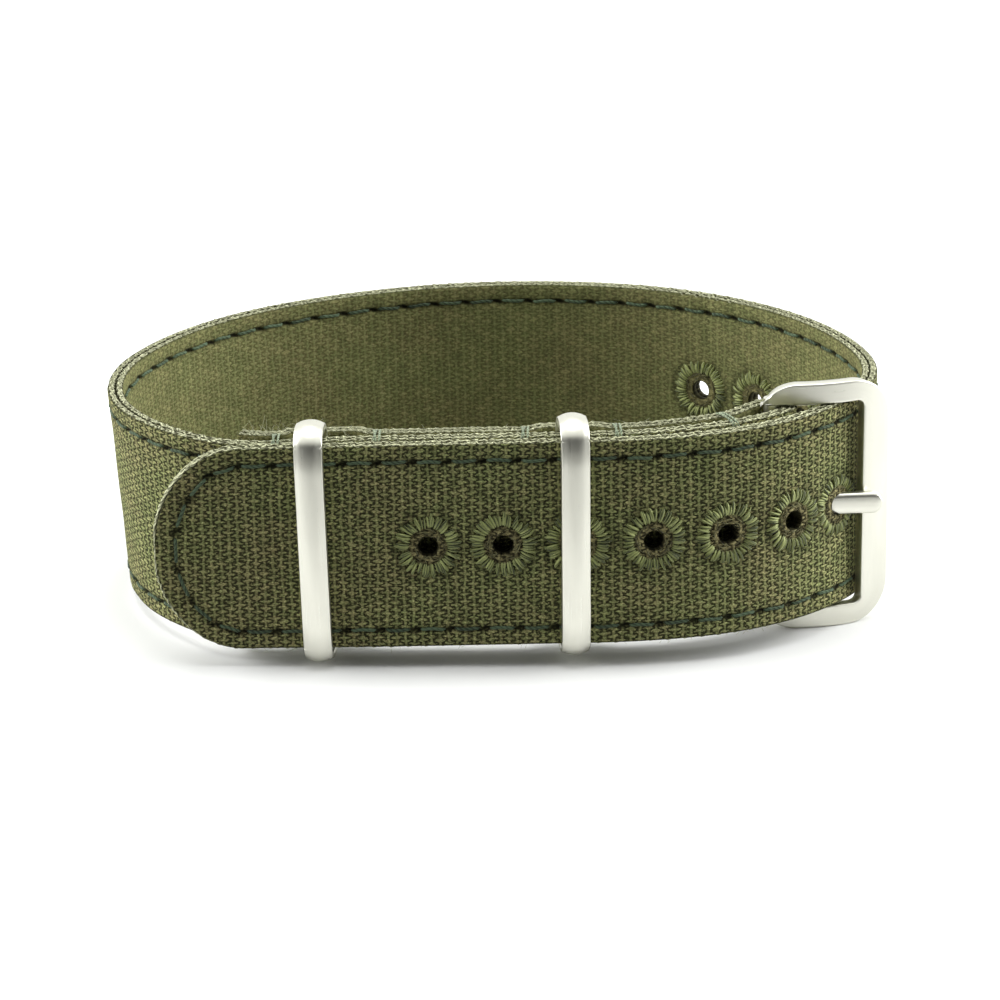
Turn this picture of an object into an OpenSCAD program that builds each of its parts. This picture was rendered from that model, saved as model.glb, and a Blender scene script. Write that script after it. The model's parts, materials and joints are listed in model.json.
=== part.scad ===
// Canvas watch strap, closed in a loop and standing on its edge. Two canvas plies are
// lockstitched along both edges. One end folds round the buckle's pin and is sewn back
// on the wrist side, which leaves two pockets for the ring keepers. The other end, the
// tail, comes round the wrist, passes under the buckle's front bar, takes the prong in
// one of its embroidered eyelets and lies over the front, under both keepers.

/* [Strap] */
// Width of the strap
strap_w = 20; // [18:0.5:22]
// Thickness of one canvas ply
ply_t = 0.75; // [0.6:0.05:0.9]
// Length of the rounded tip
tip_len = 8; // [5:0.5:10]
// Straight length of the tail, from its tip
tail_flat = 40.6; // [39.1:0.5:43.6]
// Air between the tail and the strap under it
layer_gap = 0.45; // [0.4:0.05:0.6]
// How much sooner than the tail the strap under it bends on its way to the pin
drop_turn = 1.2; // [1:0.2:3.4]

/* [Loop] */
// Radius of the slow bend at the front
front_r = 45; // [40:1:55]
// Turn of the slow bend at the front
front_turn = 12.5; // [10:0.5:15]
// Radius of the bend at the buckle
buckle_r = 23.5; // [21:0.5:26]
// Turn of the bend at the buckle
buckle_turn = 48; // [44:1:52]
// Radius of the right side
right_r = 18; // [15:0.5:22]
// Turn of the right side
right_turn = 40; // [34:1:46]
// Radius of the back, right of its middle
back_right_r = 32.5; // [28:0.5:36]
// Turn of the back, right of its middle
back_right_turn = 67.5; // [62:0.5:72]
// Radius of the back, at its middle
back_r = 43; // [38:0.5:48]
// Turn of the back, at its middle
back_turn = 45.5; // [40:0.5:50]
// Radius of the back, left of its middle
back_left_r = 32; // [28:0.5:36]
// Turn of the back, left of its middle
back_left_turn = 34; // [30:0.5:38]
// Radius of the left side
left_r = 21; // [18:0.5:24]
// Turn of the left side
left_turn = 78.5; // [74:0.5:82]
// Radius of the bend where the strap tucks in behind the tail
tuck_r = 10.5; // [8:0.5:14]

/* [Eyelets] */
// Distance from the tip to the first eyelet
first_eyelet = 25.4; // [23.6:0.1:27.6]
// Spacing of the eyelets
eyelet_pitch = 7; // [6.6:0.1:7.2]
// Diameter of the punched hole
hole_d = 1.9; // [1.5:0.1:2.4]
// Inner diameter of the embroidered ring
ring_in_d = 3.7; // [3.2:0.1:4.2]
// Outer diameter of the embroidered ring
ring_out_d = 6.2; // [5.4:0.1:6.5]
// Height of the embroidery over the canvas
ring_proud = 0.12; // [0.06:0.02:0.16]
// How far the prong draws its eyelet towards the pin
prong_pull = 1; // [0.4:0.1:1.6]

/* [Stitching] */
// Stitch length along the edges
stitch_pitch = 3.25; // [2.5:0.05:4]
// Distance of the stitching from the edge
stitch_in = 1.75; // [1.4:0.05:2.2]
// Width of the sewing thread
thread_w = 0.4; // [0.3:0.02:0.5]
// Depth to which a stitch presses into the canvas
stitch_deep = 0.16; // [0.1:0.02:0.2]
// Height of a stitch over the canvas
stitch_proud = 0.1; // [0.04:0.02:0.14]
// Length over which a stitch dips into its hole
stitch_dip = 0.45; // [0.3:0.05:0.7]

/* [Fold-back] */
// Distance from the pin to the nearest cross seam
pin_seam = 6.1; // [5.7:0.1:6.7]
// Sewn-down run between the nearest seam and the right pocket
buckle_run = 11.1; // [9:0.1:12]
// Length of the right keeper's pocket
right_pocket = 8.7; // [8.6:0.1:10]
// Sewn-down run between the two pockets
middle_run = 13.8; // [12:0.1:15]
// Length of the left keeper's pocket
left_pocket = 9.4; // [8.6:0.1:11]
// Length over which a pocket opens from its seam
pocket_ramp = 2; // [1.9:0.1:2.2]
// Loose end past the last seam
loose_end = 4; // [3:0.1:6]
// Space between the layers at the seam nearest the pin
pin_seam_gap = 0.9; // [0.6:0.05:1.1]
// Space between the layers at the next seam
next_seam_gap = 0.5; // [0.2:0.05:0.6]
// Air between the stitches of the two layers at the other seams
seam_air = 0.04; // [0.02:0.02:0.1]
// Width of a cross seam along the strap
seam_len = 0.6; // [0.4:0.05:0.8]
// Thickness of a cross seam's thread
seam_t = 0.2; // [0.14:0.02:0.22]

/* [Keepers] */
// Width of a keeper along the strap
keeper_len = 2.7; // [2:0.1:3.2]
// Thickness of a keeper's front bar, top and bottom
keeper_wall = 1.1; // [0.9:0.05:1.4]
// Thickness of a keeper's back bar, which lies in the pocket
keeper_back = 0.8; // [0.6:0.05:1]
// Space between a keeper and the faces of the canvas
keeper_clear = 0.2; // [0.16:0.02:0.3]
// Height of a keeper's opening over the strap's width
keeper_play = 1.2; // [1:0.1:1.6]
// Outer corner radius of a keeper
keeper_corner = 1.7; // [1.2:0.1:2]
// Inner corner radius of a keeper
keeper_inner_corner = 0.8; // [0.4:0.1:1]
// Radius of the dome across a keeper's front bar
keeper_dome = 2.6; // [2.4:0.1:6]
// Lean of the left keeper
keeper_lean = 1.2; // [0:0.1:2]
// Distance of the left keeper's middle from its left seam
left_keeper_at = 3.5; // [3.5:0.1:4.6]
// Distance of the right keeper's middle from its left seam
right_keeper_at = 4.8; // [3.4:0.1:5.2]

/* [Buckle] */
// Distance from the pin to the middle of the front bar
buckle_len = 10; // [9.8:0.1:11]
// Outer width of the buckle
buckle_w = 24.4; // [23.8:0.1:26]
// Space between a buckle arm and the strap's edge
arm_clear = 0.15; // [0.1:0.05:0.4]
// Thickness of the buckle's plate
plate_t = 1.2; // [1:0.1:1.6]
// Width of the front bar
bar_w = 3; // [2.6:0.1:3.4]
// Angle of the front bar to the prong, which sets the bow of the plate
bar_turn = 32; // [28:1:36]
// Outer corner radius at the front bar
bar_corner = 4; // [3:0.1:5]
// Outer corner radius at the pin
pin_corner = 2.6; // [2:0.1:2.8]
// Inner corner radius at the front bar
opening_corner = 0.7; // [0.4:0.1:1.2]
// Radius of the arms round the pin
boss_r = 1.2; // [1.2:0.1:1.6]
// Space between the front bar and the tail
bar_clear = 0.25; // [0.2:0.05:0.5]
// Diameter of the pin
pin_d = 1.5; // [1.2:0.1:1.8]
// Length of the pin in each arm of the buckle
pin_hold = 0.6; // [0.5:0.1:0.7]
// Radial running clearance round the pin
pin_clear = 0.06; // [0.03:0.01:0.1]
// Width of the prong
prong_w = 2.1; // [1.6:0.1:2.4]
// Thickness of the prong
prong_t = 1; // [0.8:0.05:1.2]
// Wall of the prong's curl round the pin
curl_t = 0.7; // [0.5:0.05:0.9]
// Space between the resting prong and the front bar
prong_rest = 0.06; // [0.04:0.02:0.1]
// Reach of the prong past the middle of the front bar
prong_over = 0.6; // [0.2:0.1:1]
// Room that the prong has in its eyelet and in its slot
prong_room = 0.2; // [0.15:0.05:0.3]
// Angle through which the closed buckle can lift off the strap
buckle_lift = 2; // [1:0.5:2.5]
// Angle through which the prong can lift off the buckle
prong_lift = 4; // [2:0.5:5]

/* [Hidden] */
$fn = 64;

// Colours
canvas = [0.36, 0.37, 0.22];
lining = [0.31, 0.31, 0.19];
thread = [0.55, 0.63, 0.54];
embroidery = [0.42, 0.45, 0.3];
steel = [0.72, 0.7, 0.67];

// Fixed fineness and small allowances
station_gap = 2;     // longest facet of the canvas
fold_facets = 12;    // facets of the fold round the pin
facet_turn = 15;     // largest turn from one facet of the fold-back to the next
fit_rounds = 26;     // halvings in the search for the pin's place
held = 7;            // eyelet that holds the prong
pin_seat = 0.02;     // play of the pin in the blind holes of the buckle's arms
seam_clear = 0.08;   // air between a cross seam and the canvas
thread_overlap = 0.2; // length over which stitching from tip and edge join
least_edge = 0.1;    // shortest facet of a stitch
tip_stitches = 7;    // stitches round the tip
over = 1;            // how far a cut runs past what it cuts

// Sizes that follow from the above
strap_t = 2 * ply_t;
half_w = strap_w / 2;
layer_step = strap_t + layer_gap;
pin_r = pin_d / 2;
fold_r = pin_r + stitch_proud + pin_clear + strap_t / 2;
stitch_z = half_w - stitch_in;
arm_z = half_w + arm_clear;
pin_long = 2 * (arm_z + pin_hold);
tuck_turn = 360 - front_turn - buckle_turn - right_turn - back_right_turn - back_turn
    - back_left_turn - left_turn;

// Runs and places. A run is [length, turn], and a place is [x, y, heading], with the
// heading counted to the left from +X. The strap is followed from its tip along the
// middle of its thickness, so the wrist is on the left and the outside on the right.
function radians(a) = a * PI / 180;
function bend(r, turn) = [r * radians(turn), turn];
function go(place, run, d) = run[1] == 0
    ? [place[0] + d * cos(place[2]), place[1] + d * sin(place[2]), place[2]]
    : let (r = run[0] / radians(run[1]), h = place[2] + run[1] * d / run[0])
        [place[0] + r * (sin(h) - sin(place[2])), place[1] - r * (cos(h) - cos(place[2])), h];
function starts(runs, from, i = 0) = i == len(runs) ? [from]
    : concat([from], starts(runs, go(from, runs[i], runs[i][0]), i + 1));
function total(runs, i = 0) = i == len(runs) ? 0 : runs[i][0] + total(runs, i + 1);
function along(runs, froms, s, i = 0) = i == len(runs) - 1 || s <= runs[i][0]
    ? go(froms[i], runs[i], s) : along(runs, froms, s - runs[i][0], i + 1);
function shifted(place, out) =
    [place[0] + out * sin(place[2]), place[1] - out * cos(place[2])];

// The loop, from the tip round the wrist to behind the tail. A short straight on the
// side that needs it brings the strap in at the right distance behind the tail.
tip = [0, strap_t / 2, 0];
tail = [tail_flat, 0];
right_side = [bend(front_r, front_turn), bend(buckle_r, buckle_turn),
    bend(right_r, right_turn)];
back_side = [bend(back_right_r, back_right_turn), bend(back_r, back_turn),
    bend(back_left_r, back_left_turn)];
left_side = [bend(left_r, left_turn), bend(tuck_r, tuck_turn)];
open_loop = concat([tail], right_side, back_side, left_side);
open_end = starts(open_loop, tip)[len(open_loop)];
miss = strap_t / 2 + layer_step - open_end[1];
going_away = front_turn + buckle_turn + right_turn;
coming_back = going_away + back_right_turn + back_turn + back_left_turn;
slack_right = [max(0, miss) / sin(going_away), 0];
slack_left = [min(0, miss) / sin(coming_back), 0];
loop = concat([tail], right_side, [slack_right], back_side, [slack_left], left_side);
loop_starts = starts(loop, tip);
loop_end = loop_starts[len(loop)];

// Eyelets, counted from the tip
function eyelet_at(k) = first_eyelet + (k - 1) * eyelet_pitch - (k == held ? prong_pull : 0);
held_place = along(loop, loop_starts, eyelet_at(held));

// Buckle and prong seen from above, with the pin at the origin and the prong along +X.
// The plate is an arc through the pin and the middle of the front bar.
bar_y = prong_t / 2 + prong_rest + bar_w / 2 * sin(bar_turn) + plate_t / 2 * cos(bar_turn);
chord_turn = asin(bar_y / buckle_len);
half_bow = bar_turn - chord_turn;
plate_r = buckle_len / 2 / sin(half_bow);
plate_mid = [buckle_len * cos(chord_turn) - plate_r * sin(bar_turn),
    buckle_len * sin(chord_turn) + plate_r * cos(bar_turn)];
prong_len = buckle_len + prong_over;
curl_r = pin_r + pin_clear + curl_t;

// Place of the pin. The prong points at its eyelet, and the strap under the tail is as
// long as it takes for the front bar to clear the tail.
front_run = [[tip[0] + tail_flat - loop_end[0], 0],
    [(front_r - layer_step) * radians(front_turn), front_turn + drop_turn]];
pin_bend_from = starts(front_run, loop_end)[2];
pin_bend_r = buckle_r - layer_step;
function pin_run(l) = [l, l / radians(pin_bend_r)];
function pin_for(l) = shifted(go(pin_bend_from, pin_run(l), l), -fold_r);
function aim(p) = atan2(held_place[1] - p[1], held_place[0] - p[0]);
function bar_edge(p) = let (a = aim(p) + chord_turn, b = aim(p) + bar_turn)
    [p[0] + buckle_len * cos(a) - bar_w / 2 * cos(b) - plate_t / 2 * sin(b),
     p[1] + buckle_len * sin(a) - bar_w / 2 * sin(b) + plate_t / 2 * cos(b)];
right_from = loop_starts[3];
function off_tail(q) = let (ahead = (q[0] - right_from[0]) * cos(right_from[2])
        + (q[1] - right_from[1]) * sin(right_from[2]), r = ahead > 0 ? right_r : buckle_r)
    norm(q - shifted(right_from, -r)) - r;
function pin_reach(low, high, n = fit_rounds) = let (mid = (low + high) / 2) n == 0 ? mid
    : off_tail(bar_edge(pin_for(mid))) > strap_t / 2 + bar_clear
        ? pin_reach(low, mid, n - 1) : pin_reach(mid, high, n - 1);
pin_bend = pin_run(pin_reach(0, pin_bend_r * radians(buckle_turn)));
pin = pin_for(pin_bend[0]);
prong_dir = aim(pin);

// The strap up to the pin, the fold round it and the fold-back on the wrist side
base = concat(loop, front_run, [pin_bend]);
base_starts = starts(base, tip);
base_len = total(base);
fold = bend(fold_r, 180);
seam_5 = pin_seam;
seam_4 = seam_5 + buckle_run;
seam_3 = seam_4 + right_pocket;
seam_2 = seam_3 + middle_run;
seam_1 = seam_2 + left_pocket;
back_len = seam_1 + loose_end;
pocket = keeper_back + 2 * keeper_clear;
seam_gap = 2 * stitch_proud + seam_air;

// Space between strap and fold-back, as [distance from the pin, space]. It changes from
// one to the next along two equal arcs.
spaces = [[0, 2 * fold_r - strap_t], [seam_5, pin_seam_gap], [seam_4, next_seam_gap],
    [seam_4 + pocket_ramp, pocket], [seam_3 - pocket_ramp, pocket], [seam_3, seam_gap],
    [seam_2, seam_gap], [seam_2 + pocket_ramp, pocket], [seam_1 - pocket_ramp, pocket],
    [seam_1, seam_gap], [back_len, seam_gap]];
function step_r(rise, run) = (rise * rise + run * run) / 4 / abs(rise);
function sag(r, d) = r - sqrt(r * r - d * d);
function step_at(rise, run, d) = rise == 0 ? 0 : sign(rise) * (d < run / 2
    ? sag(step_r(rise, run), d) : abs(rise) - sag(step_r(rise, run), max(0, run - d)));
function space(t, i = 0) = t > spaces[i + 1][0] && i < len(spaces) - 2 ? space(t, i + 1)
    : let (a = spaces[i], b = spaces[i + 1])
        a[1] + step_at(b[1] - a[1], b[0] - a[0], t - a[0]);
function back_spot(t) =
    shifted(along(base, base_starts, base_len - t), -strap_t - space(t));
function back_place(t) = let (p = back_spot(t), q = back_spot(t + 0.01))
    [p[0], p[1], atan2(q[1] - p[1], q[0] - p[0])];
function place(s) = s <= base_len ? along(base, base_starts, s)
    : s <= base_len + fold[0] ? go(base_starts[len(base)], fold, s - base_len)
    : back_place(s - base_len - fold[0]);
function at(s, out) = shifted(place(s), out);

// Stations of the canvas facets
function split(from, d, n) = [for (i = [0:n - 1]) from + d * i / n];
function loop_stations(runs, from = 0, i = 0) = i == len(runs) ? []
    : concat(runs[i][0] > 0 ? split(from, runs[i][0], ceil(runs[i][0] / station_gap)) : [],
        loop_stations(runs, from + runs[i][0], i + 1));
function step_facets(rise, run) = max(ceil(run / station_gap),
    rise == 0 ? 1 : 2 * ceil(asin(run / 2 / step_r(rise, run)) / facet_turn));
back_from = base_len + fold[0];
strap_len = back_from + back_len;
stations = concat(loop_stations(base), split(base_len, fold[0], fold_facets),
    [for (i = [0:len(spaces) - 2]) let (a = spaces[i], step = spaces[i + 1] - a)
        each split(back_from + a[0], step[0], step_facets(step[1], step[0]))],
    [strap_len]);

// A layer that follows the strap between two distances from its middle
module band(marks, out_a, out_b, high) {
    last = len(marks) - 1;
    translate([0, 0, -high / 2]) linear_extrude(high) polygon(concat(
        [for (i = [0:last]) at(marks[i], out_a)],
        [for (i = [last:-1:0]) at(marks[i], out_b)]));
}

// Moves its children to the place, with +X along the heading and +Y to the left
module put(p) {
    translate([p[0], p[1], 0]) rotate([0, 0, p[2]]) children();
}

// Turns its children so that what was drawn in X and Y stands in X and Z
module upright() {
    rotate([90, 0, 0]) children();
}

function ellipse(x, a, b, from, to, n) =
    [for (i = [0:n]) let (t = from + (to - from) * i / n) [x + a * cos(t), b * sin(t)]];

// What is cut away to round the tip
module tip_waste() {
    translate([0, strap_t + layer_gap / 2, 0]) upright() linear_extrude(strap_t + layer_gap)
        polygon(concat(ellipse(tip_len, tip_len, half_w, 90, 270, 24),
            [[tip_len, -half_w - over], [-over, -half_w - over],
             [-over, half_w + over], [tip_len, half_w + over]]));
}

// The prong's way through the fold and through its eyelet
module prong_space() {
    high = prong_w + 2 * prong_room;
    put([pin[0], pin[1], prong_dir]) translate([0, 0, -high / 2]) linear_extrude(high) {
        circle(fold_r + strap_t / 2 + prong_room);
        for (a = [0:-(buckle_lift + prong_lift) / 4:-(buckle_lift + prong_lift)])
            rotate(a) translate([0, -prong_t / 2 - prong_room])
                square([prong_len, prong_t + 2 * prong_room]);
    }
}

module eyelet_hole(k) {
    put(place(eyelet_at(k))) upright()
        cylinder(d = hole_d, h = strap_t + layer_gap, center = true);
}

module ply(out_a, out_b) {
    difference() {
        band(stations, out_a, out_b, strap_w);
        tip_waste();
        for (k = [1:13]) if (k != held) eyelet_hole(k);
        prong_space();
    }
}

module outer_ply() {
    color(canvas) ply(0, strap_t / 2);
}

module inner_ply() {
    color(lining) ply(-strap_t / 2, 0);
}

// Stitching along both edges and round the tip, on the side where out is positive or
// negative. It stays a little way in the canvas and rises over it between the holes.
module stitching(side) {
    low = side * (strap_t / 2 - stitch_deep);
    face = side * (strap_t / 2 - stitch_deep / 4);
    top = side * (strap_t / 2 + stitch_proud);
    first = tip_len - thread_overlap;
    count = floor((strap_len - first) / stitch_pitch);
    marks = [for (i = [0:count - 1]) let (s = first + i * stitch_pitch,
            a = s + stitch_dip, b = s + stitch_pitch - stitch_dip)
        each concat([[s, face], [a, top]],
            [for (u = stations) if (u > a + least_edge && u < b - least_edge) [u, top]],
            [[b, top]])];
    last = len(marks) - 1;
    for (z = [-stitch_z, stitch_z])
        translate([0, 0, z - thread_w / 2]) linear_extrude(thread_w) polygon(concat(
            [for (m = marks) at(m[0], m[1])],
            [for (i = [last:-1:0]) at(marks[i][0], low)]));
    tip_thread(90, 270, low, face);
    for (i = [0:tip_stitches - 1])
        tip_thread(90 + 180 * (i + 0.15) / tip_stitches, 90 + 180 * (i + 0.85) / tip_stitches,
            low, top);
}

// Thread round the tip between two angles and two distances from the strap's middle
module tip_thread(from, to, out_a, out_b) {
    steps = ceil((to - from) / 10);
    a = tip_len - stitch_in;
    translate([0, strap_t / 2 - min(out_a, out_b), 0]) upright()
        linear_extrude(abs(out_b - out_a)) polygon(concat(
            ellipse(tip_len, a + thread_w / 2, stitch_z + thread_w / 2, from, to, steps),
            ellipse(tip_len, a - thread_w / 2, stitch_z - thread_w / 2, to, from, steps)));
}

module needle_thread() {
    color(thread) stitching(1);
}

module bobbin_thread() {
    color(thread) stitching(-1);
}

// Thread that goes right round strap and fold-back, at a distance from the pin
module cross_seam(t) {
    front = strap_t / 2 + seam_clear;
    gap = max(space(t - seam_len / 2), space(t + seam_len / 2));
    rear = strap_t + gap + strap_t / 2 + seam_clear;
    side = half_w + seam_clear;
    color(thread) put(along(base, base_starts, base_len - t)) difference() {
        translate([-seam_len / 2, -front - seam_t, -side - seam_t])
            cube([seam_len, front + rear + 2 * seam_t, 2 * (side + seam_t)]);
        translate([-over, -front, -side]) cube([2 * over, front + rear, 2 * side]);
    }
}

// Embroidered ring on both faces of the tail. The prong draws its eyelet against the
// one before, which takes a little off both.
module eyelet(k) {
    s = eyelet_at(k);
    marks = [for (u = stations) if (abs(u - s) < ring_out_d) u];
    face = strap_t / 2;
    color(embroidery) difference() {
        intersection() {
            put(place(s)) upright() difference() {
                cylinder(d = ring_out_d, h = 2 * strap_t, center = true);
                cylinder(d = ring_in_d, h = 3 * strap_t, center = true);
            }
            union() {
                band(marks, face, face + ring_proud, strap_w);
                band(marks, -face, -face - ring_proud, strap_w);
            }
        }
        if (k == held || k == held - 1) prong_space();
        if (k == held) put(place(eyelet_at(k - 1))) upright()
            cylinder(d = ring_out_d + 2 * seam_clear, h = 3 * strap_t, center = true);
    }
}

module rounded(x, y, size_x, size_y, r) {
    translate([x + r, y]) square([size_x - 2 * r, size_y]);
    translate([x, y + r]) square([size_x, size_y - 2 * r]);
    for (cx = [x + r, x + size_x - r], cy = [y + r, y + size_y - r])
        translate([cx, cy]) circle(r);
}

// Ring keeper round tail and strap, with its back bar in the pocket
keeper_front = layer_step + strap_t / 2 + keeper_clear + keeper_wall;
keeper_rear = strap_t / 2 + keeper_clear + keeper_back;
keeper_high = strap_w + keeper_play + 2 * keeper_wall;
left_keeper = along(base, base_starts, base_len - seam_1 + left_keeper_at);
right_keeper = along(base, base_starts, base_len - seam_3 + right_keeper_at);
module keeper(p, lean) {
    deep = keeper_front + keeper_rear;
    color(steel) put(p) rotate([0, lean, 0]) difference() {
        rotate([90, 0, 90]) translate([0, 0, -keeper_len / 2]) linear_extrude(keeper_len)
            difference() {
                rounded(-keeper_front, -keeper_high / 2, deep, keeper_high, keeper_corner);
                rounded(keeper_wall - keeper_front, keeper_wall - keeper_high / 2,
                    deep - keeper_wall - keeper_back, keeper_high - 2 * keeper_wall,
                    keeper_inner_corner);
            }
        difference() {
            translate([-keeper_len, -keeper_front - over, -keeper_high])
                cube([2 * keeper_len, keeper_wall + over, 2 * keeper_high]);
            translate([0, keeper_dome - keeper_front, 0])
                cylinder(r = keeper_dome, h = 3 * keeper_high, center = true);
        }
    }
}

// Outline of the buckle in X and Z, with the pin at the origin and the bar at +X
module buckle_outline() {
    end = buckle_len + bar_w / 2 * cos(half_bow);
    in = buckle_len - bar_w / 2 * cos(half_bow);
    far = buckle_w / 2;
    difference() {
        union() {
            translate([pin_corner - boss_r, -far])
                square([end + boss_r - pin_corner - bar_corner, 2 * far]);
            translate([-boss_r, pin_corner - far])
                square([pin_corner, 2 * (far - pin_corner)]);
            translate([end - bar_corner, bar_corner - far])
                square([bar_corner, 2 * (far - bar_corner)]);
            for (s = [-1, 1]) {
                translate([pin_corner - boss_r, s * (far - pin_corner)]) circle(pin_corner);
                translate([end - bar_corner, s * (far - bar_corner)]) circle(bar_corner);
            }
        }
        rounded(-boss_r - over - opening_corner, -arm_z,
            in + boss_r + over + opening_corner, 2 * arm_z, opening_corner);
    }
}

module buckle_frame() {
    color(steel) put([pin[0], pin[1], prong_dir]) difference() {
        intersection() {
            union() {
                translate([plate_mid[0], plate_mid[1], 0]) difference() {
                    cylinder(r = plate_r + plate_t / 2, h = buckle_w + over, center = true,
                        $fn = 180);
                    cylinder(r = plate_r - plate_t / 2, h = buckle_w + 2 * over,
                        center = true, $fn = 180);
                }
                cylinder(r = boss_r, h = buckle_w + over, center = true);
            }
            rotate([90, 0, chord_turn]) translate([0, 0, -plate_r / 2])
                linear_extrude(plate_r) buckle_outline();
        }
        cylinder(d = pin_d + 2 * pin_seat, h = pin_long + 2 * pin_seat, center = true);
    }
}

module buckle_pin() {
    color(steel) put([pin[0], pin[1], prong_dir])
        cylinder(d = pin_d, h = pin_long, center = true);
}

module prong() {
    color(steel) put([pin[0], pin[1], prong_dir]) difference() {
        union() {
            cylinder(r = curl_r, h = prong_w, center = true);
            translate([0, -prong_t / 2, -prong_w / 2])
                cube([prong_len - prong_w / 2, prong_t, prong_w]);
            translate([prong_len - prong_w / 2, 0, 0]) upright()
                cylinder(d = prong_w, h = prong_t, center = true);
        }
        cylinder(r = pin_r + pin_clear, h = 2 * prong_w, center = true);
    }
}

// The stance. The strap rests on the left keeper, on the buckle's lower arm and on the
// lower edge of its back, so it leans a little towards the buckle and the front.
back_top = max([for (s = stations) at(s, strap_t / 2)[1]]);
back_low = [for (s = stations) if (at(s, strap_t / 2)[1] == back_top) at(s, strap_t / 2)][0];
function buckle_point(x, y) = [pin[0] + x * cos(prong_dir) - y * sin(prong_dir),
    pin[1] + x * sin(prong_dir) + y * cos(prong_dir)];
arm_low = buckle_point(buckle_len / 2, plate_mid[1] - plate_r - plate_t / 2);
rest_keeper = [left_keeper[0] - keeper_len / 2, left_keeper[1], -keeper_high / 2];
rest_buckle = [arm_low[0], arm_low[1], -buckle_w / 2];
rest_back = [back_low[0], back_low[1], -half_w];
floor_up = cross(rest_buckle - rest_keeper, rest_back - rest_keeper);
lean_x = atan2(floor_up[1], floor_up[2]);
lean_y = -atan2(floor_up[0], norm([floor_up[1], floor_up[2]]));
function stood(p) = let (y = p[1] * cos(lean_x) - p[2] * sin(lean_x),
        z = p[1] * sin(lean_x) + p[2] * cos(lean_x))
    [p[0] * cos(lean_y) + z * sin(lean_y), y, z * cos(lean_y) - p[0] * sin(lean_y)];

// Outermost points, which put the origin at the middle of the footprint on the floor
bar_far = buckle_point(buckle_len * cos(chord_turn) + bar_w / 2 * cos(bar_turn)
    + plate_t / 2 * sin(bar_turn), bar_y + bar_w / 2 * sin(bar_turn)
    - plate_t / 2 * cos(bar_turn));
reach = [for (p = concat(
        [for (s = stations, z = [-half_w, half_w])
            let (q = at(s, strap_t / 2 + stitch_proud)) [q[0], q[1], z]],
        [for (z = [bar_corner - buckle_w / 2, buckle_w / 2 - bar_corner])
            [bar_far[0], bar_far[1], z]],
        [for (k = [left_keeper, right_keeper], z = [-1, 1])
            [k[0], k[1] - keeper_front, z * (keeper_high / 2 - keeper_corner)]],
        [for (k = [left_keeper, right_keeper], x = [-1, 1], y = [-1, 1])
            [k[0] + x * keeper_len / 2, k[1] + y * strap_t, -keeper_high / 2]],
        [rest_buckle])) stood(p)];
low_corner = [for (i = [0:2]) min([for (p = reach) p[i]])];
high_corner = [for (i = [0:1]) max([for (p = reach) p[i]])];

module stand() {
    translate([-(low_corner[0] + high_corner[0]) / 2, -(low_corner[1] + high_corner[1]) / 2,
        -low_corner[2]]) rotate([lean_x, lean_y, 0]) children();
}

stand() {
    outer_ply();
    inner_ply();
    needle_thread();
    bobbin_thread();
    cross_seam(seam_1);  // cross_seam_1
    cross_seam(seam_2);  // cross_seam_2
    cross_seam(seam_3);  // cross_seam_3
    cross_seam(seam_4);  // cross_seam_4
    cross_seam(seam_5);  // cross_seam_5
    for (k = [1:13]) eyelet(k);
    keeper(left_keeper, -keeper_lean);  // keeper_1
    keeper(right_keeper, 0);  // keeper_2
    buckle_frame();
    buckle_pin();
    prong();
}
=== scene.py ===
"""Looks of the canvas watch strap. It stands on its edge on a white floor, closed in a loop.

Lengths are in millimetres and angles in degrees until a mesh is made. A point of the strap is
given by its distance s along the strap from the tip, its height z over the strap's middle line
and its distance out from the middle of the strap's thickness.
"""
import json
from math import asin, atan2, copysign, cos, degrees, hypot, pi, radians, sin, sqrt, tan

import bmesh
import bpy
import numpy as np
from mathutils import Matrix, Vector


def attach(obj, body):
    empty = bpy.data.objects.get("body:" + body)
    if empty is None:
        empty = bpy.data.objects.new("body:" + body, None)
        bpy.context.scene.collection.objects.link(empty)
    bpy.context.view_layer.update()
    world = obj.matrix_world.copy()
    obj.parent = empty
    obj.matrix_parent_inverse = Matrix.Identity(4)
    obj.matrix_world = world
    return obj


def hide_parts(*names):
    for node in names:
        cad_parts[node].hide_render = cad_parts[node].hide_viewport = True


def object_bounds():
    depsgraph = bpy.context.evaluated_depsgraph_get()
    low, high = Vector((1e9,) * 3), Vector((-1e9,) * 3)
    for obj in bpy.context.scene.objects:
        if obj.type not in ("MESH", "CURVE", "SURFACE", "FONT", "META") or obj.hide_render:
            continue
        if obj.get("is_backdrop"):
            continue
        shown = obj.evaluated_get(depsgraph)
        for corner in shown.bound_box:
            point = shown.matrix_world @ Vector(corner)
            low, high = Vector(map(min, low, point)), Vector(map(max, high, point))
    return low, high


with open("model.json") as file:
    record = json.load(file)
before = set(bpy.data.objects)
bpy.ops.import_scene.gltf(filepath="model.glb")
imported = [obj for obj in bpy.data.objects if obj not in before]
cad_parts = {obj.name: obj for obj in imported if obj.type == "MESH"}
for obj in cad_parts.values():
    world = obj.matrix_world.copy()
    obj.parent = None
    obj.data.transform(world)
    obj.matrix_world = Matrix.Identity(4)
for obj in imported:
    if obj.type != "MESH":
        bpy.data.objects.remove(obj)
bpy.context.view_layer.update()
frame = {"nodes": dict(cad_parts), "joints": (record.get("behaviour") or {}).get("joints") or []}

# Strap
strap_w = 20.0
ply_t = 0.75
tip_len = 8.0
tail_flat = 40.6
layer_gap = 0.45
drop_turn = 1.2

# Loop
front_r, front_turn = 45.0, 12.5
buckle_r, buckle_turn = 23.5, 48.0
right_r, right_turn = 18.0, 40.0
back_right_r, back_right_turn = 32.5, 67.5
back_r, back_turn = 43.0, 45.5
back_left_r, back_left_turn = 32.0, 34.0
left_r, left_turn = 21.0, 78.5
tuck_r = 10.5

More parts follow.
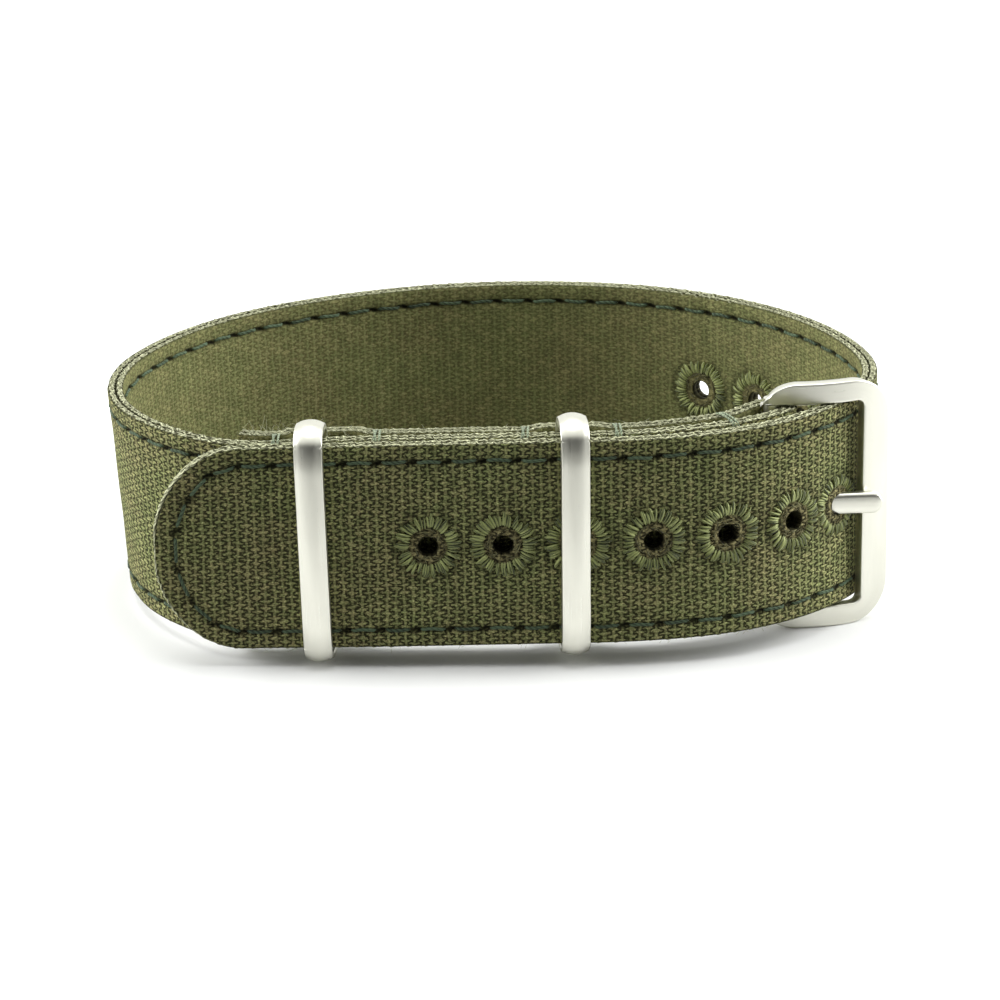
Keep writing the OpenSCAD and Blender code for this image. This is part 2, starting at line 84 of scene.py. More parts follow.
# Eyelets
eyelets = 13
first_eyelet = 25.4
eyelet_pitch = 7.0
hole_r = 0.95
ring_in_r, ring_out_r = 1.85, 3.1
prong_pull = 1.0
held = 7

# Stitching
stitch_pitch = 3.25
stitch_in = 1.75
thread_r = 0.2
tip_stitches = 7

# Fold-back
pin_seam = 6.1
buckle_run = 11.1
right_pocket = 8.7
middle_run = 13.8
left_pocket = 9.4
pocket_ramp = 2.0
loose_end = 4.0
pin_seam_gap, next_seam_gap, seam_gap = 0.9, 0.5, 0.24

# Keepers
keeper_len = 2.7
keeper_wall = 1.1
keeper_back = 0.8
keeper_clear = 0.2
keeper_play = 1.2
keeper_lean = 1.2
keeper_dome = 2.45
left_keeper_at, right_keeper_at = 3.5, 4.8
keeper_corner, keeper_inner_corner, keeper_bow = 2.3, 0.8, 0.3
# How each keeper leans, turns, slides along the strap and stands higher
left_stance = (-keeper_lean, -5.0, 0.2, 0.15)
right_stance = (0.5, 5.5, -0.42, 0.35)

# Buckle
buckle_len = 10.0
buckle_w = 24.4
arm_clear = 0.15
plate_t = 1.2
bar_w = 3.0
bar_turn = 32.0
bar_corner, pin_corner, opening_corner = 4.0, 3.5, 0.7
boss_r = 1.2
bar_clear = 0.25
plate_lean = 0.8
pin_r = 0.75
pin_clear = 0.06
prong_w, prong_t, curl_t = 2.1, 1.0, 0.7
prong_rest, prong_over = 0.06, 0.6

# Weave of the canvas
column_pitch = 0.81
row_pitch = 0.345

# Threads and yarns
satin_strands = 56
frayed_yarns = 30
hairs, end_hairs = 700, 80
seam_stitches = 8

# Sizes that follow
strap_t = 2 * ply_t
half_w = strap_w / 2
face = strap_t / 2
layer_step = strap_t + layer_gap
fold_r = pin_r + 0.1 + pin_clear + strap_t / 2
stitch_z = half_w - stitch_in
first_hole = tip_len - 0.2
tuck_turn = 360 - front_turn - buckle_turn - right_turn - back_right_turn - back_turn \
    - back_left_turn - left_turn

rng = np.random.default_rng(7)


def cosd(angle):
    return cos(radians(angle))


def sind(angle):
    return sin(radians(angle))


# The strap's path, as runs of [length, turn] between places [x, y, heading]
def bend(r, turn):
    return (r * radians(turn), turn)


def go(place, run, d):
    x, y, h = place
    if run[1] == 0:
        return (x + d * cosd(h), y + d * sind(h), h)
    r = run[0] / radians(run[1])
    to = h + run[1] * d / run[0]
    return (x + r * (sind(to) - sind(h)),
            y - r * (cosd(to) - cosd(h)), to)


def walk(runs, place):
    places = [place]
    for run in runs:
        places.append(go(places[-1], run, run[0]))
    return places


def shifted(place, out):
    h = radians(place[2])
    return (place[0] + out * sin(h), place[1] - out * cos(h))


def make_loop():
    """The runs from the tip round the wrist to behind the tail, and the places between them."""
    tip = (0.0, strap_t / 2, 0.0)
    right = [(tail_flat, 0), bend(front_r, front_turn), bend(buckle_r, buckle_turn),
             bend(right_r, right_turn)]
    back = [bend(back_right_r, back_right_turn), bend(back_r, back_turn),
            bend(back_left_r, back_left_turn)]
    left = [bend(left_r, left_turn), bend(tuck_r, tuck_turn)]
    miss = strap_t / 2 + layer_step - walk(right + back + left, tip)[-1][1]
    away = front_turn + buckle_turn + right_turn
    home = away + back_right_turn + back_turn + back_left_turn
    slack_right = (max(0, miss) / sind(away), 0)
    slack_left = (min(0, miss) / sind(home), 0)
    loop = right + [slack_right] + back + [slack_left] + left
    return [run for run in loop if run[0] > 0], tip


def along(runs, places, s):
    for run, place in zip(runs, places):
        if s <= run[0]:
            return go(place, run, s)
        s -= run[0]
    return go(places[-2], runs[-1], runs[-1][0] + s)


def eyelet_at(k):
    return first_eyelet + (k - 1) * eyelet_pitch - (prong_pull if k == held else 0)


loop, tip = make_loop()
loop_places = walk(loop, tip)
held_place = along(loop, loop_places, eyelet_at(held))
bar_y = prong_t / 2 + prong_rest + bar_w / 2 * sind(bar_turn) \
    + plate_t / 2 * cosd(bar_turn)
chord_turn = degrees(asin(bar_y / buckle_len))
half_bow = bar_turn - chord_turn
plate_r = buckle_len / 2 / sind(half_bow)


def find_pin():
    """The run that bends to the pin, long enough for the front bar to clear the tail."""
    front_run = [(tip[0] + tail_flat - loop_places[-1][0], 0),
                 ((front_r - layer_step) * radians(front_turn), front_turn + drop_turn)]
    bend_from = walk(front_run, loop_places[-1])[-1]
    r = buckle_r - layer_step
    right_from = loop_places[3]

    def pin_for(length):
        return shifted(go(bend_from, (length, degrees(length / r)), length), -fold_r)

    def off_tail(p):
        aim = atan2(held_place[1] - p[1], held_place[0] - p[0])
        a, b = aim + radians(chord_turn), aim + radians(bar_turn)
        q = (p[0] + buckle_len * cos(a) - bar_w / 2 * cos(b) - plate_t / 2 * sin(b),
             p[1] + buckle_len * sin(a) - bar_w / 2 * sin(b) + plate_t / 2 * cos(b))
        h = radians(right_from[2])
        ahead = (q[0] - right_from[0]) * cos(h) + (q[1] - right_from[1]) * sin(h)
        side_r = right_r if ahead > 0 else buckle_r
        mid = shifted(right_from, -side_r)
        return hypot(q[0] - mid[0], q[1] - mid[1]) - side_r

    low, high = 0, r * radians(buckle_turn)
    for _ in range(26):
        mid = (low + high) / 2
        if off_tail(pin_for(mid)) > strap_t / 2 + bar_clear:
            high = mid
        else:
            low = mid
    length = (low + high) / 2
    return front_run + [(length, degrees(length / r))], pin_for(length)


last_runs, pin = find_pin()
prong_dir = degrees(atan2(held_place[1] - pin[1], held_place[0] - pin[0]))
base = loop + last_runs
base_places = walk(base, tip)
base_len = sum(run[0] for run in base)
fold_len = pi * fold_r
seam_at = [pin_seam, pin_seam + buckle_run]
for run_len in (right_pocket, middle_run, left_pocket):
    seam_at.append(seam_at[-1] + run_len)
back_len = seam_at[-1] + loose_end
strap_len = base_len + fold_len + back_len
pocket = keeper_back + 2 * keeper_clear
spaces = [(0, 2 * fold_r - strap_t), (seam_at[0], pin_seam_gap), (seam_at[1], next_seam_gap),
          (seam_at[1] + pocket_ramp, pocket), (seam_at[2] - pocket_ramp, pocket),
          (seam_at[2], seam_gap), (seam_at[3], seam_gap), (seam_at[3] + pocket_ramp, pocket),
          (seam_at[4] - pocket_ramp, pocket), (seam_at[4], seam_gap), (back_len, seam_gap)]


def space(t):
    """Space between strap and fold-back at a distance t from the pin."""
    for (t0, a), (t1, b) in zip(spaces, spaces[1:]):
        if t <= t1 or t1 == back_len:
            break
    rise, run, d = b - a, t1 - t0, t - t0
    if rise == 0:
        return a
    r = (rise * rise + run * run) / 4 / abs(rise)

    def sag(x):
        return r - sqrt(max(0, r * r - x * x))
    return a + copysign(sag(d) if d < run / 2 else abs(rise) - sag(max(0, run - d)), rise)


def path_table():
    """Distances, x, y and heading along the whole strap, closely spaced."""
    ends = [base_len, base_len + fold_len, strap_len]
    s = np.unique(np.concatenate([np.arange(0, strap_len, 0.1), ends]))
    rows = []
    for d in s:
        if d <= base_len:
            rows.append(along(base, base_places, d))
        elif d <= base_len + fold_len:
            rows.append(go(base_places[-1], (fold_len, 180), d - base_len))
        else:
            t = d - base_len - fold_len
            p, q = (shifted(along(base, base_places, base_len - u), -strap_t - space(u))
                    for u in (t, t + 0.01))
            rows.append((p[0], p[1], degrees(atan2(q[1] - p[1], q[0] - p[0]))))
    x, y, h = np.array(rows).T
    return s, x, y, np.unwrap(np.radians(h))


table_s, table_x, table_y, table_h = path_table()

# The stance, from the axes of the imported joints
joints = {joint["name"]: joint for joint in frame["joints"]}
axis_x = np.array(joints["keeper_1_slide"]["axis"])
axis_z = -np.array(joints["buckle_hinge"]["axis"])
axis_y = np.cross(axis_z, axis_x)
turned = np.array([axis_x, axis_y, axis_z])
placed = np.array(joints["buckle_hinge"]["pos_m"]) * 1000 - np.array([pin[0], pin[1], 0]) @ turned


def to_world(points):
    return (np.asarray(points) @ turned + placed) / 1000


# How far the wall leans outwards at its top, in degrees, along the strap
lean_s = [0, 10, 22, 120, 150, 175, 190, 200, 207, 214, 222, 236, 244]
lean_a = [2, 1.5, 0, 0, 1, 3, 4.5, 3.5, 2, 1.5, 1, 0.5, 0]
# How far the wall stands outwards of the path behind the tip
swell_s = [180, 190, 198, 205, 210, 215]
swell = [0, 0.2, 0.45, 0.9, 0.6, 0]


def heading(s):
    return np.interp(s, table_s, table_h)


def outward(s):
    h = heading(s)
    return np.stack([np.sin(h), -np.cos(h), np.zeros_like(h)], -1)


def spot(s, z, out):
    """Points on the strap, in the part's own frame."""
    s, z, out = np.broadcast_arrays(np.asarray(s, float), np.asarray(z, float),
                                    np.asarray(out, float))
    lean = np.tan(np.radians(np.interp(s, lean_s, lean_a)))
    base_point = np.stack([np.interp(s, table_s, table_x), np.interp(s, table_s, table_y), z], -1)
    return base_point + outward(s) * (out + z * lean + np.interp(s, swell_s, swell))[..., None]


# Meshes
def place_object(name, data):
    obj = bpy.data.objects.new(name, data)
    bpy.context.scene.collection.objects.link(obj)
    return obj


def make_object(name, points, faces, material, uv, values=None):
    """An object from points in the part's frame, none of them below the floor. uv and the named
    values are given for each point."""
    mesh = bpy.data.meshes.new(name)
    points = to_world(points)
    points[:, 2] = np.maximum(points[:, 2], 0)
    mesh.from_pydata(points.tolist(), [], [tuple(map(int, f)) for f in faces])
    corners = np.zeros(len(mesh.loops), int)
    mesh.loops.foreach_get("vertex_index", corners)
    layer = mesh.uv_layers.new(name="weave")
    layer.data.foreach_set("uv", np.asarray(uv, np.float32)[corners].ravel())
    for key, value in (values or {}).items():
        layer = mesh.attributes.new(key, "FLOAT", "POINT")
        layer.data.foreach_set("value", np.asarray(value, np.float32))
    mesh.polygons.foreach_set("use_smooth", [True] * len(mesh.polygons))
    mesh.update()
    mesh.validate()
    mesh.materials.append(material)
    return place_object(name, mesh)


def mend(obj):
    """Fills what is open in a piece and turns its faces outwards."""
    mesh = bmesh.new()
    mesh.from_mesh(obj.data)
    bmesh.ops.holes_fill(mesh, edges=[e for e in mesh.edges if e.is_boundary], sides=0)
    bmesh.ops.recalc_face_normals(mesh, faces=mesh.faces)
    mesh.to_mesh(obj.data)
    mesh.free()
    return obj


def dress(obj, body, slot, *nodes):
    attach(obj, body)
    if nodes:
        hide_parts(*nodes)


def grid_faces(rings, sides, closed=False):
    """Quads between each ring of points and the next, and between the last and the first where
    the grid is closed."""
    i = np.arange(rings if closed else rings - 1)[:, None]
    j = np.arange(sides)[None, :]
    k = (j + 1) % sides
    near, far = i * sides, (i + 1) % rings * sides
    return np.stack([near + j, near + k, far + k, far + j], -1).reshape(-1, 4)


def bar_faces(rings, sides):
    """Quads round a bar, and its two flat ends."""
    ends = [list(range(sides)), list(range((rings - 1) * sides, rings * sides))[::-1]]
    return grid_faces(rings, sides).tolist() + ends


def run_length(points):
    """How far along a line each of its points lies."""
    return np.concatenate([[0], np.cumsum(np.linalg.norm(np.diff(points, axis=0), axis=1))])


class Parts:
    """Points, faces and uv of many threads that become one mesh."""

    def __init__(self):
        self.points, self.faces, self.uv, self.count, self.strands = [], [], [], 0, 0

    def object(self, name, material):
        return make_object(name, np.concatenate(self.points), self.faces, material,
                           np.concatenate(self.uv))


def add_strand(parts, path, up, wide, high, sides, taper=0.35):
    """A closed thread along a path. up is the direction of its flat side, for each point."""
    path = np.asarray(path, float)
    n = len(path)
    ahead = np.gradient(path, axis=0)
    ahead /= np.linalg.norm(ahead, axis=1)[:, None]
    up = np.broadcast_to(np.asarray(up, float), path.shape)
    side = np.cross(ahead, up)
    side /= np.linalg.norm(side, axis=1)[:, None] + 1e-12
    top = np.cross(side, ahead)
    wide = np.broadcast_to(wide, (n,)).astype(float).copy()
    high = np.broadcast_to(high, (n,)).astype(float).copy()
    for end in (0, -1):
        wide[end] *= taper
        high[end] *= taper
    a = 2 * np.pi * np.arange(sides) / sides
    ring = side[:, None] * (wide[:, None] * np.cos(a))[..., None] \
        + top[:, None] * (high[:, None] * np.sin(a))[..., None]
    points = (path[:, None] + ring).reshape(-1, 3)
    length = run_length(path)
    uv = np.stack([np.repeat(length, sides), np.tile(np.arange(sides) / sides, n)], -1)
    uv[:, 1] += parts.strands
    parts.strands += 1
    points = np.concatenate([points, path[:1], path[-1:]])
    uv = np.concatenate([uv, [[0, parts.strands - 0.5]], [[length[-1], parts.strands - 0.5]]])
    j = np.arange(sides)
    k = (j + 1) % sides
    last = (n - 1) * sides
    caps = np.concatenate([np.stack([k, j, j * 0 + n * sides], -1),
                           np.stack([j + last, k + last, j * 0 + n * sides + 1], -1)])
    parts.points.append(points)
    parts.uv.append(uv)
    for faces in (grid_faces(n, sides), caps):
        parts.faces.extend((faces + parts.count).tolist())
    parts.count += len(points)


# Materials
class Nodes:
    """The node tree of a material or a world, with short calls."""

    def __init__(self, owner):
        owner.use_nodes = True
        self.owner = owner
        self.tree = owner.node_tree
        self.shader = self.tree.nodes.get("Principled BSDF")

    def put(self, socket, value):
        if isinstance(value, bpy.types.NodeSocket):
            self.tree.links.new(value, socket)
        else:
            socket.default_value = value

    def node(self, kind, inputs=(), **settings):
        node = self.tree.nodes.new(kind)
        for key, value in settings.items():
            setattr(node, key, value)
        for key, value in dict(inputs).items():
            self.put(node.inputs[key], value)
        return node

    def surface(self, inputs):
        """Sets the shader's own sockets."""
        for key, value in inputs.items():
            self.put(self.shader.inputs[key], value)

    def math(self, operation, *values):
        return self.node("ShaderNodeMath", enumerate(values), operation=operation).outputs[0]

    def add(self, a, b):
        return self.math("ADD", a, b)

    def sub(self, a, b):
        return self.math("SUBTRACT", a, b)

    def mul(self, a, b):
        return self.math("MULTIPLY", a, b)

    def div(self, a, b):
        return self.math("DIVIDE", a, b)

    def mul_add(self, a, b, c):
        return self.math("MULTIPLY_ADD", a, b, c)

    def mix(self, factor, a, b, blend="MIX"):
        return self.node("ShaderNodeMix", {0: factor, 6: a, 7: b}, data_type="RGBA",
                         blend_type=blend).outputs[2]

    def vector(self, x, y, z=0.0):
        return self.node("ShaderNodeCombineXYZ", enumerate((x, y, z))).outputs[0]

    def split(self, vector):
        return self.node("ShaderNodeSeparateXYZ", {0: vector}).outputs[:]

    def uv(self):
        return self.split(self.node("ShaderNodeUVMap", uv_map="weave").outputs[0])[:2]

    def place(self, kind):
        return self.node("ShaderNodeTexCoord").outputs[kind]

    def attribute(self, name):
        return self.node("ShaderNodeAttribute", attribute_name=name).outputs["Fac"]

    def noise(self, vector, scale, detail=2.0, rough=0.5):
        return self.node("ShaderNodeTexNoise", {"Vector": vector, "Scale": scale,
                                                "Detail": detail, "Roughness": rough}).outputs[0]

    def random(self, vector):
        return self.node("ShaderNodeTexWhiteNoise", {"Vector": vector},
                         noise_dimensions="3D").outputs["Value"]

    def ramp(self, value, low, high, to_low=0.0, to_high=1.0):
        return self.node("ShaderNodeMapRange", enumerate((value, low, high, to_low, to_high)),
                         interpolation_type="SMOOTHSTEP").outputs[0]

    def bump(self, height, distance, strength):
        return self.node("ShaderNodeBump", {"Height": height, "Distance": distance,
                                            "Strength": strength}).outputs[0]


def colour(r, g, b):
    return (r, g, b, 1.0)


def canvas_material(name, green, brown, gap_shade, grain, depth):
    """Plain weave. Pointed leaves stand in columns, each column half a leaf off the next, with
    a neck between one leaf and the next. gap_shade is the brightness between the leaves, painted
    shade in the weave's hollows."""
    n = Nodes(bpy.data.materials.new(name))
    s, z = n.uv()
    wander = n.sub(n.noise(n.vector(s, z), 0.55), 0.5)
    jitter = n.sub(n.noise(n.vector(n.mul(s, 0.9), n.mul(z, 1.6), 7.0), 1.0), 0.5)
    u = n.add(n.div(s, column_pitch), n.mul(wander, 0.7))
    v = n.add(n.div(z, row_pitch), n.mul(jitter, 1.5))
    column = n.math("FLOOR", u)
    w = n.add(n.mul(v, 0.5), n.mul(n.math("FLOORED_MODULO", column, 2.0), 0.5))
    row = n.math("FLOOR", w)
    du, dv = (n.sub(n.mul(n.math("FRACT", x), 2.0), 1.0) for x in (u, w))
    chance, chance_2 = (n.random(n.vector(column, row, seed)) for seed in (0.5, 3.5))
    dv = n.add(dv, n.mul(du, n.mul(n.sub(chance_2, 0.4), 0.4)))
    side, level = n.math("ABSOLUTE", du), n.math("ABSOLUTE", dv)
    fibre = n.sub(n.noise(n.vector(n.mul(s, 3.4), n.mul(z, 9.0)), 1.0, 2, 0.6), 0.5)
    tuft = n.sub(n.noise(n.vector(s, z, 4.0), 5.5, 2, 0.6), 0.5)
    fat = n.add(n.mul_add(chance, 0.1, 0.36), n.mul(tuft, 0.7))

    def leaf(x, y):
        tall = n.mul(fat, n.sub(1.0, n.math("POWER", n.div(x, 1.35), 2.0)))
        body = n.sub(1.0, n.mul(n.mul(y, y), 0.7))
        return n.mul(n.ramp(n.sub(tall, y), -0.2, 0.2), body)
    next_leaf = leaf(n.sub(2.0, side), n.math("ABSOLUTE", n.sub(1.0, level)))
    neck = n.mul(n.ramp(side, 0.46, 0.12), n.mul_add(chance_2, 0.3, 0.6))
    height = n.math("MAXIMUM", n.math("MAXIMUM", leaf(side, level), next_leaf), neck)
    # Painted shade: the colour darkens in the hollows between the leaves.
    light = n.mul_add(height, 1.0 - gap_shade, gap_shade)
    rough = n.add(n.mul(fibre, 3.6 * grain), n.mul(tuft, 2.2 * grain))
    strips = n.noise(n.vector(n.mul(column, 0.9), n.mul(z, 0.25), 5.0), 1.0)
    uneven = n.add(n.mul_add(chance, 0.25, 0.68), n.mul(strips, 0.4))
    light = n.mul(n.mul(light, uneven), n.math("EXPONENT", rough))
    speckle = n.noise(n.vector(n.mul(s, 2.6), n.mul(z, 6.0), 9.0), 1.0)
    patches = n.noise(n.vector(s, z, 2.0), 0.15, 3)
    brownish = n.add(n.mul(speckle, 0.7), n.mul(patches, 0.4))
    brownish = n.ramp(n.mul_add(chance, 0.12, brownish), 0.4, 0.85)
    hue = n.mix(n.math("MAXIMUM", brownish, n.attribute("warm")), colour(*green), colour(*brown))
    # The colour is multiplied by painted shade, from the weave's hollows and from the shade
    # attribute, and by the canvas's own uneven tone and grain.
    shade = n.mul(light, n.mul_add(n.attribute("shade"), 0.96, 0.04))
    n.surface({"Base Color": n.mix(1.0, hue, n.vector(shade, shade, shade), "MULTIPLY"),
               "Normal": n.bump(n.add(height, n.mul(fibre, 0.6)), depth * 0.001, 0.9),
               "Roughness": 0.9, "Specular IOR Level": 0.08, "Sheen Weight": 0.06,
               "Sheen Roughness": 0.5, "Sheen Tint": colour(0.8, 0.85, 0.5)})
    return n.owner


def thread_material(name, light, dark, twist=0.55, rough=0.6, sheen=0.2):
    """Twisted thread. uv runs along it in millimetres and once round it. Its colour runs from
    dark, painted shade in the grooves between the plies, to light on the plies, with a random
    tone.
    """
    n = Nodes(bpy.data.materials.new(name))
    s, turn = n.uv()
    ply = n.math("FRACT", n.add(n.div(s, twist), n.mul(turn, 2.0)))
    ridge = n.math("SINE", n.mul(ply, pi))
    fine = n.noise(n.vector(n.mul(s, 1.5), n.mul(turn, 14.0)), 1.0)
    chance = n.random(n.vector(n.math("FLOOR", turn), 0.5))
    tone = n.add(n.mul(n.noise(n.place("Object"), 900.0), 0.35), n.mul(chance, 0.4))
    # Painted shade: the thread is darker in the grooves between its plies.
    mixed = n.ramp(n.add(n.mul(ridge, 0.45), tone), 0.2, 1.0)
    n.surface({"Base Color": n.mix(mixed, colour(*dark), colour(*light)),
               "Normal": n.bump(n.add(ridge, n.mul(fine, 0.5)), 0.00004, 0.8),
               "Roughness": rough, "Specular IOR Level": 0.3, "Sheen Weight": sheen,
               "Sheen Roughness": 0.4})
    return n.owner


def steel_material(name, tone=np.array([0.775, 0.775, 0.69]), rough=0.33):
    """Brushed steel. uv runs along the brushing and across it, in millimetres."""
    n = Nodes(bpy.data.materials.new(name))
    s, across = n.uv()
    lines = n.noise(n.vector(n.mul(s, 0.12), n.mul(across, 9.0)), 1.0, 4, 0.7)
    cloud = n.noise(n.vector(n.mul(s, 0.1), n.mul(across, 0.6)), 1.0, 3)
    n.surface({"Base Color": n.mix(n.ramp(cloud, 0.3, 0.75), colour(*0.93 * tone), colour(*tone)),
               "Roughness": n.ramp(lines, 0.3, 0.75, rough - 0.06, rough + 0.08),
               "Normal": n.bump(lines, 0.00001, 0.4), "Metallic": 1.0})
    return n.owner


outer_canvas = canvas_material("canvas_outer", (0.268, 0.306, 0.12), (0.3, 0.27, 0.128),
                               0.13, 1.0, 0.05)
lining_canvas = canvas_material("canvas_lining", (0.222, 0.243, 0.095), (0.228, 0.21, 0.092),
                                0.55, 0.5, 0.025)
sewing = thread_material("sewing_thread", (0.1, 0.15, 0.085), (0.018, 0.027, 0.015),
                         0.55, 0.8, 0.05)
seam_thread = thread_material("seam_thread", (0.37, 0.45, 0.28), (0.06, 0.08, 0.045))
satin = thread_material("embroidery_thread", (0.43, 0.48, 0.18), (0.035, 0.045, 0.018),
                        2.5, 0.5, 0.1)
# The cut yarns, which the loose fibres share, are much paler than the canvas: painted highlight
# for the light on the top edges. Their dark colour is painted shade in the gaps between them.
cut_yarn = thread_material("cut_yarn", (0.85, 0.87, 0.56), (0.06, 0.06, 0.025), 0.9, 0.9, 0.1)
frayed_yarn = thread_material("frayed_yarn", (0.29, 0.285, 0.13), (0.022, 0.02, 0.01),
                              0.9, 0.9, 0.1)
steel = steel_material("brushed_steel")


# Canvas plies
def boundary_height(s):
    """Half the strap's width at a distance s from the tip."""
    part = np.clip(1 - np.asarray(s, float) / tip_len, 0, 1)
    return half_w * np.sqrt(np.clip(1 - part ** 2, 0, 1))


def tip_hole(i):
    """A needle hole round the tip, as (s, z)."""
    a = pi / 2 + pi * i / tip_stitches
    return (tip_len + (tip_len - stitch_in) * cos(a), stitch_z * sin(a))


def stitch_holes():
    """Needle holes along both edges and round the tip, as (s, z)."""
    spots = []
    for i in range(int((strap_len - first_hole) / stitch_pitch) + 1):
        spots += [(first_hole + i * stitch_pitch, side * stitch_z) for side in (-1, 1)]
    return np.array(spots + [tip_hole(i) for i in range(1, tip_stitches)])


holes = stitch_holes()
eyelet_spots = np.array([eyelet_at(k) for k in range(1, eyelets + 1)])


def off_stitch_line(s, z):
    """Distance from the line of stitching."""
    inside = np.maximum(tip_len - s, 0)
    a, b = tip_len - stitch_in, stitch_z
    ellipse = (np.sqrt((inside / a) ** 2 + (z / b) ** 2) - 1) * b
    return np.where(s < tip_len, ellipse, np.abs(z) - stitch_z)


def relief(s, z):
    """Height of the canvas over its even face, and how bright it is from 0 to 1: painted shade
    along the stitching's groove, in the needle holes and round the eyelets.
    """
    shape = s.shape
    s, z = s.ravel(), z.ravel()
    off = off_stitch_line(s, z)
    high = -0.09 * np.exp(-(off / 0.32) ** 2)
    # Painted shade in the groove that the stitching pulls into the canvas.
    shade = 1 - 0.6 * np.exp(-(off / 0.24) ** 2)
    phase = np.pi * (s - tip_len) / stitch_pitch
    near_edge = np.clip((np.abs(z) - 6) / 3, 0, 1)
    high += 0.035 * near_edge * np.abs(np.sin(phase)) - 0.01
    high += 0.03 * np.sin(0.9 * s + 1.7 * np.sin(0.5 * z)) * np.sin(0.35 * z + 0.3 * s)
    order = np.argsort(s)
    for hs, hz in holes:
        a, b = np.searchsorted(s[order], [hs - 1, hs + 1])
        idx = order[a:b]
        slant = z[idx] - hz - 0.22 * (s[idx] - hs)
        d2 = (s[idx] - hs) ** 2 * 0.12 + slant ** 2
        keep = d2 < 0.5
        idx, d2 = idx[keep], d2[keep]
        high[idx] -= 0.2 * np.exp(-d2 / 0.045)
        # Painted shade in each needle hole, which the mesh only dips into.
        shade[idx] *= 1 - np.exp(-(d2 / 0.06) ** 2)
    for e in eyelet_spots:
        a, b = np.searchsorted(s[order], [e - 4, e + 4])
        idx = order[a:b]
        r = np.hypot(s[idx] - e, z[idx])
        high[idx] -= 0.1 * np.exp(-((r - 2.5) / 0.6) ** 2)
        turn = np.arctan2(z[idx], s[idx] - e)
        torn = 0.5 + 0.5 * np.sin(9 * turn + 3 * np.sin(2 * turn + e))
        # Painted shade in the torn gap at the inner edge of the satin ring, and at the needle
        # holes of the satin stitches' outer ends.
        rim = np.exp(-((r - 1.78 + 0.12 * torn) / 0.17) ** 2)
        shade[idx] *= 1 - 0.75 * rim * (0.5 + 0.5 * torn)
        shade[idx] *= 1 - 0.55 * np.exp(-((r - 3.15) / 0.22) ** 2)
    return high.reshape(shape), np.clip(shade, 0, 1).reshape(shape)


# Half the side of the square of canvas round an eyelet
block = 2.8
# Groove of a cut edge: how far through the ply, and how deep
edge_groove = [(0.1, 0.08), (0.3, 0.3), (0.7, 0.3), (0.9, 0.08)]


def stations():
    """Distances along the strap at which the canvas has points, even between the eyelets."""
    marks = [tip_len * (1 - cos(a)) for a in np.linspace(0.03, pi / 2, 34)]
    stops = [tip_len]
    for e in eyelet_spots:
        stops += [e - block, e + block]
    stops += [base_len, base_len + fold_len, strap_len]
    stops = sorted(stops)
    for a, b in zip(stops, stops[1:]):
        step = 0.15 if base_len <= a < base_len + fold_len else 0.34
        marks += list(np.linspace(a, b, max(2, round((b - a) / step) + 1))[1:])
    return np.array(marks)


def rows_across(fine):
    """Heights of the grid's rows, closer together along the stitching."""
    beside = [3.9, 5.1, 6.3, 7.3, 7.75, 7.95, 8.1, 8.2, 8.3, 8.42, 8.6, 8.85, 9.3, 9.7]
    half = np.concatenate([np.linspace(0, block, 8), beside if fine else [7.4]])
    return np.concatenate([-half[:0:-1], half])


def canvas_face(out, side, fine):
    """One face of a ply as a grid with round holes. Returns points, uv, shade, faces and the
    indices of its two long edges, its ends and the rims of its holes."""
    s = stations()
    rows = rows_across(fine)
    squeeze = boundary_height(s) / half_w
    grid_s = np.repeat(s[:, None], len(rows), 1)
    grid_z = rows[None, :] * squeeze[:, None]
    index = np.arange(grid_s.size).reshape(grid_s.shape)
    flat_s, flat_z = [grid_s.ravel()], [grid_z.ravel()]
    count = grid_s.size
    keep = np.ones((len(s) - 1, len(rows) - 1), bool)
    faces, rims = [], []
    for e in eyelet_spots:
        i0, i1 = (int(np.argmin(np.abs(s - e - d))) for d in (-block, block))
        j0, j1 = (int(np.argmin(np.abs(rows - d))) for d in (-block, block))
        keep[i0:i1, j0:j1] = False
        loop_ids = np.concatenate([index[i0:i1, j0], index[i1, j0:j1], index[i1:i0:-1, j1],
                                   index[i0, j1:j0:-1]])
        ls, lz = grid_s.ravel()[loop_ids], grid_z.ravel()[loop_ids]
        angle = np.arctan2(lz, ls - e)
        previous = loop_ids
        for t in (0.8, 0.62, 0.5, 0.4, 0.31, 0.23, 0.15, 0.07, 0.0):
            r = hole_r * (1 - t) + np.hypot(ls - e, lz) * t
            ids = np.arange(len(ls)) + count
            flat_s.append(e + r * np.cos(angle))
            flat_z.append(r * np.sin(angle))
            count += len(ls)
            faces.append(np.stack([previous, np.roll(previous, -1), np.roll(ids, -1), ids], -1))
            previous = ids
        rims.append(previous)
    i, j = np.nonzero(keep)
    faces.append(np.stack([index[i, j], index[i + 1, j], index[i + 1, j + 1], index[i, j + 1]],
                          -1))
    faces = np.concatenate(faces)
    s_all, z_all = np.concatenate(flat_s), np.concatenate(flat_z)
    high, shade = relief(s_all, z_all) if fine else (np.zeros_like(s_all), np.ones_like(s_all))
    points = spot(s_all, z_all, out + side * high)
    if side > 0:
        faces = faces[:, ::-1]
    return points, np.stack([s_all, z_all], -1), shade, faces, index, rims


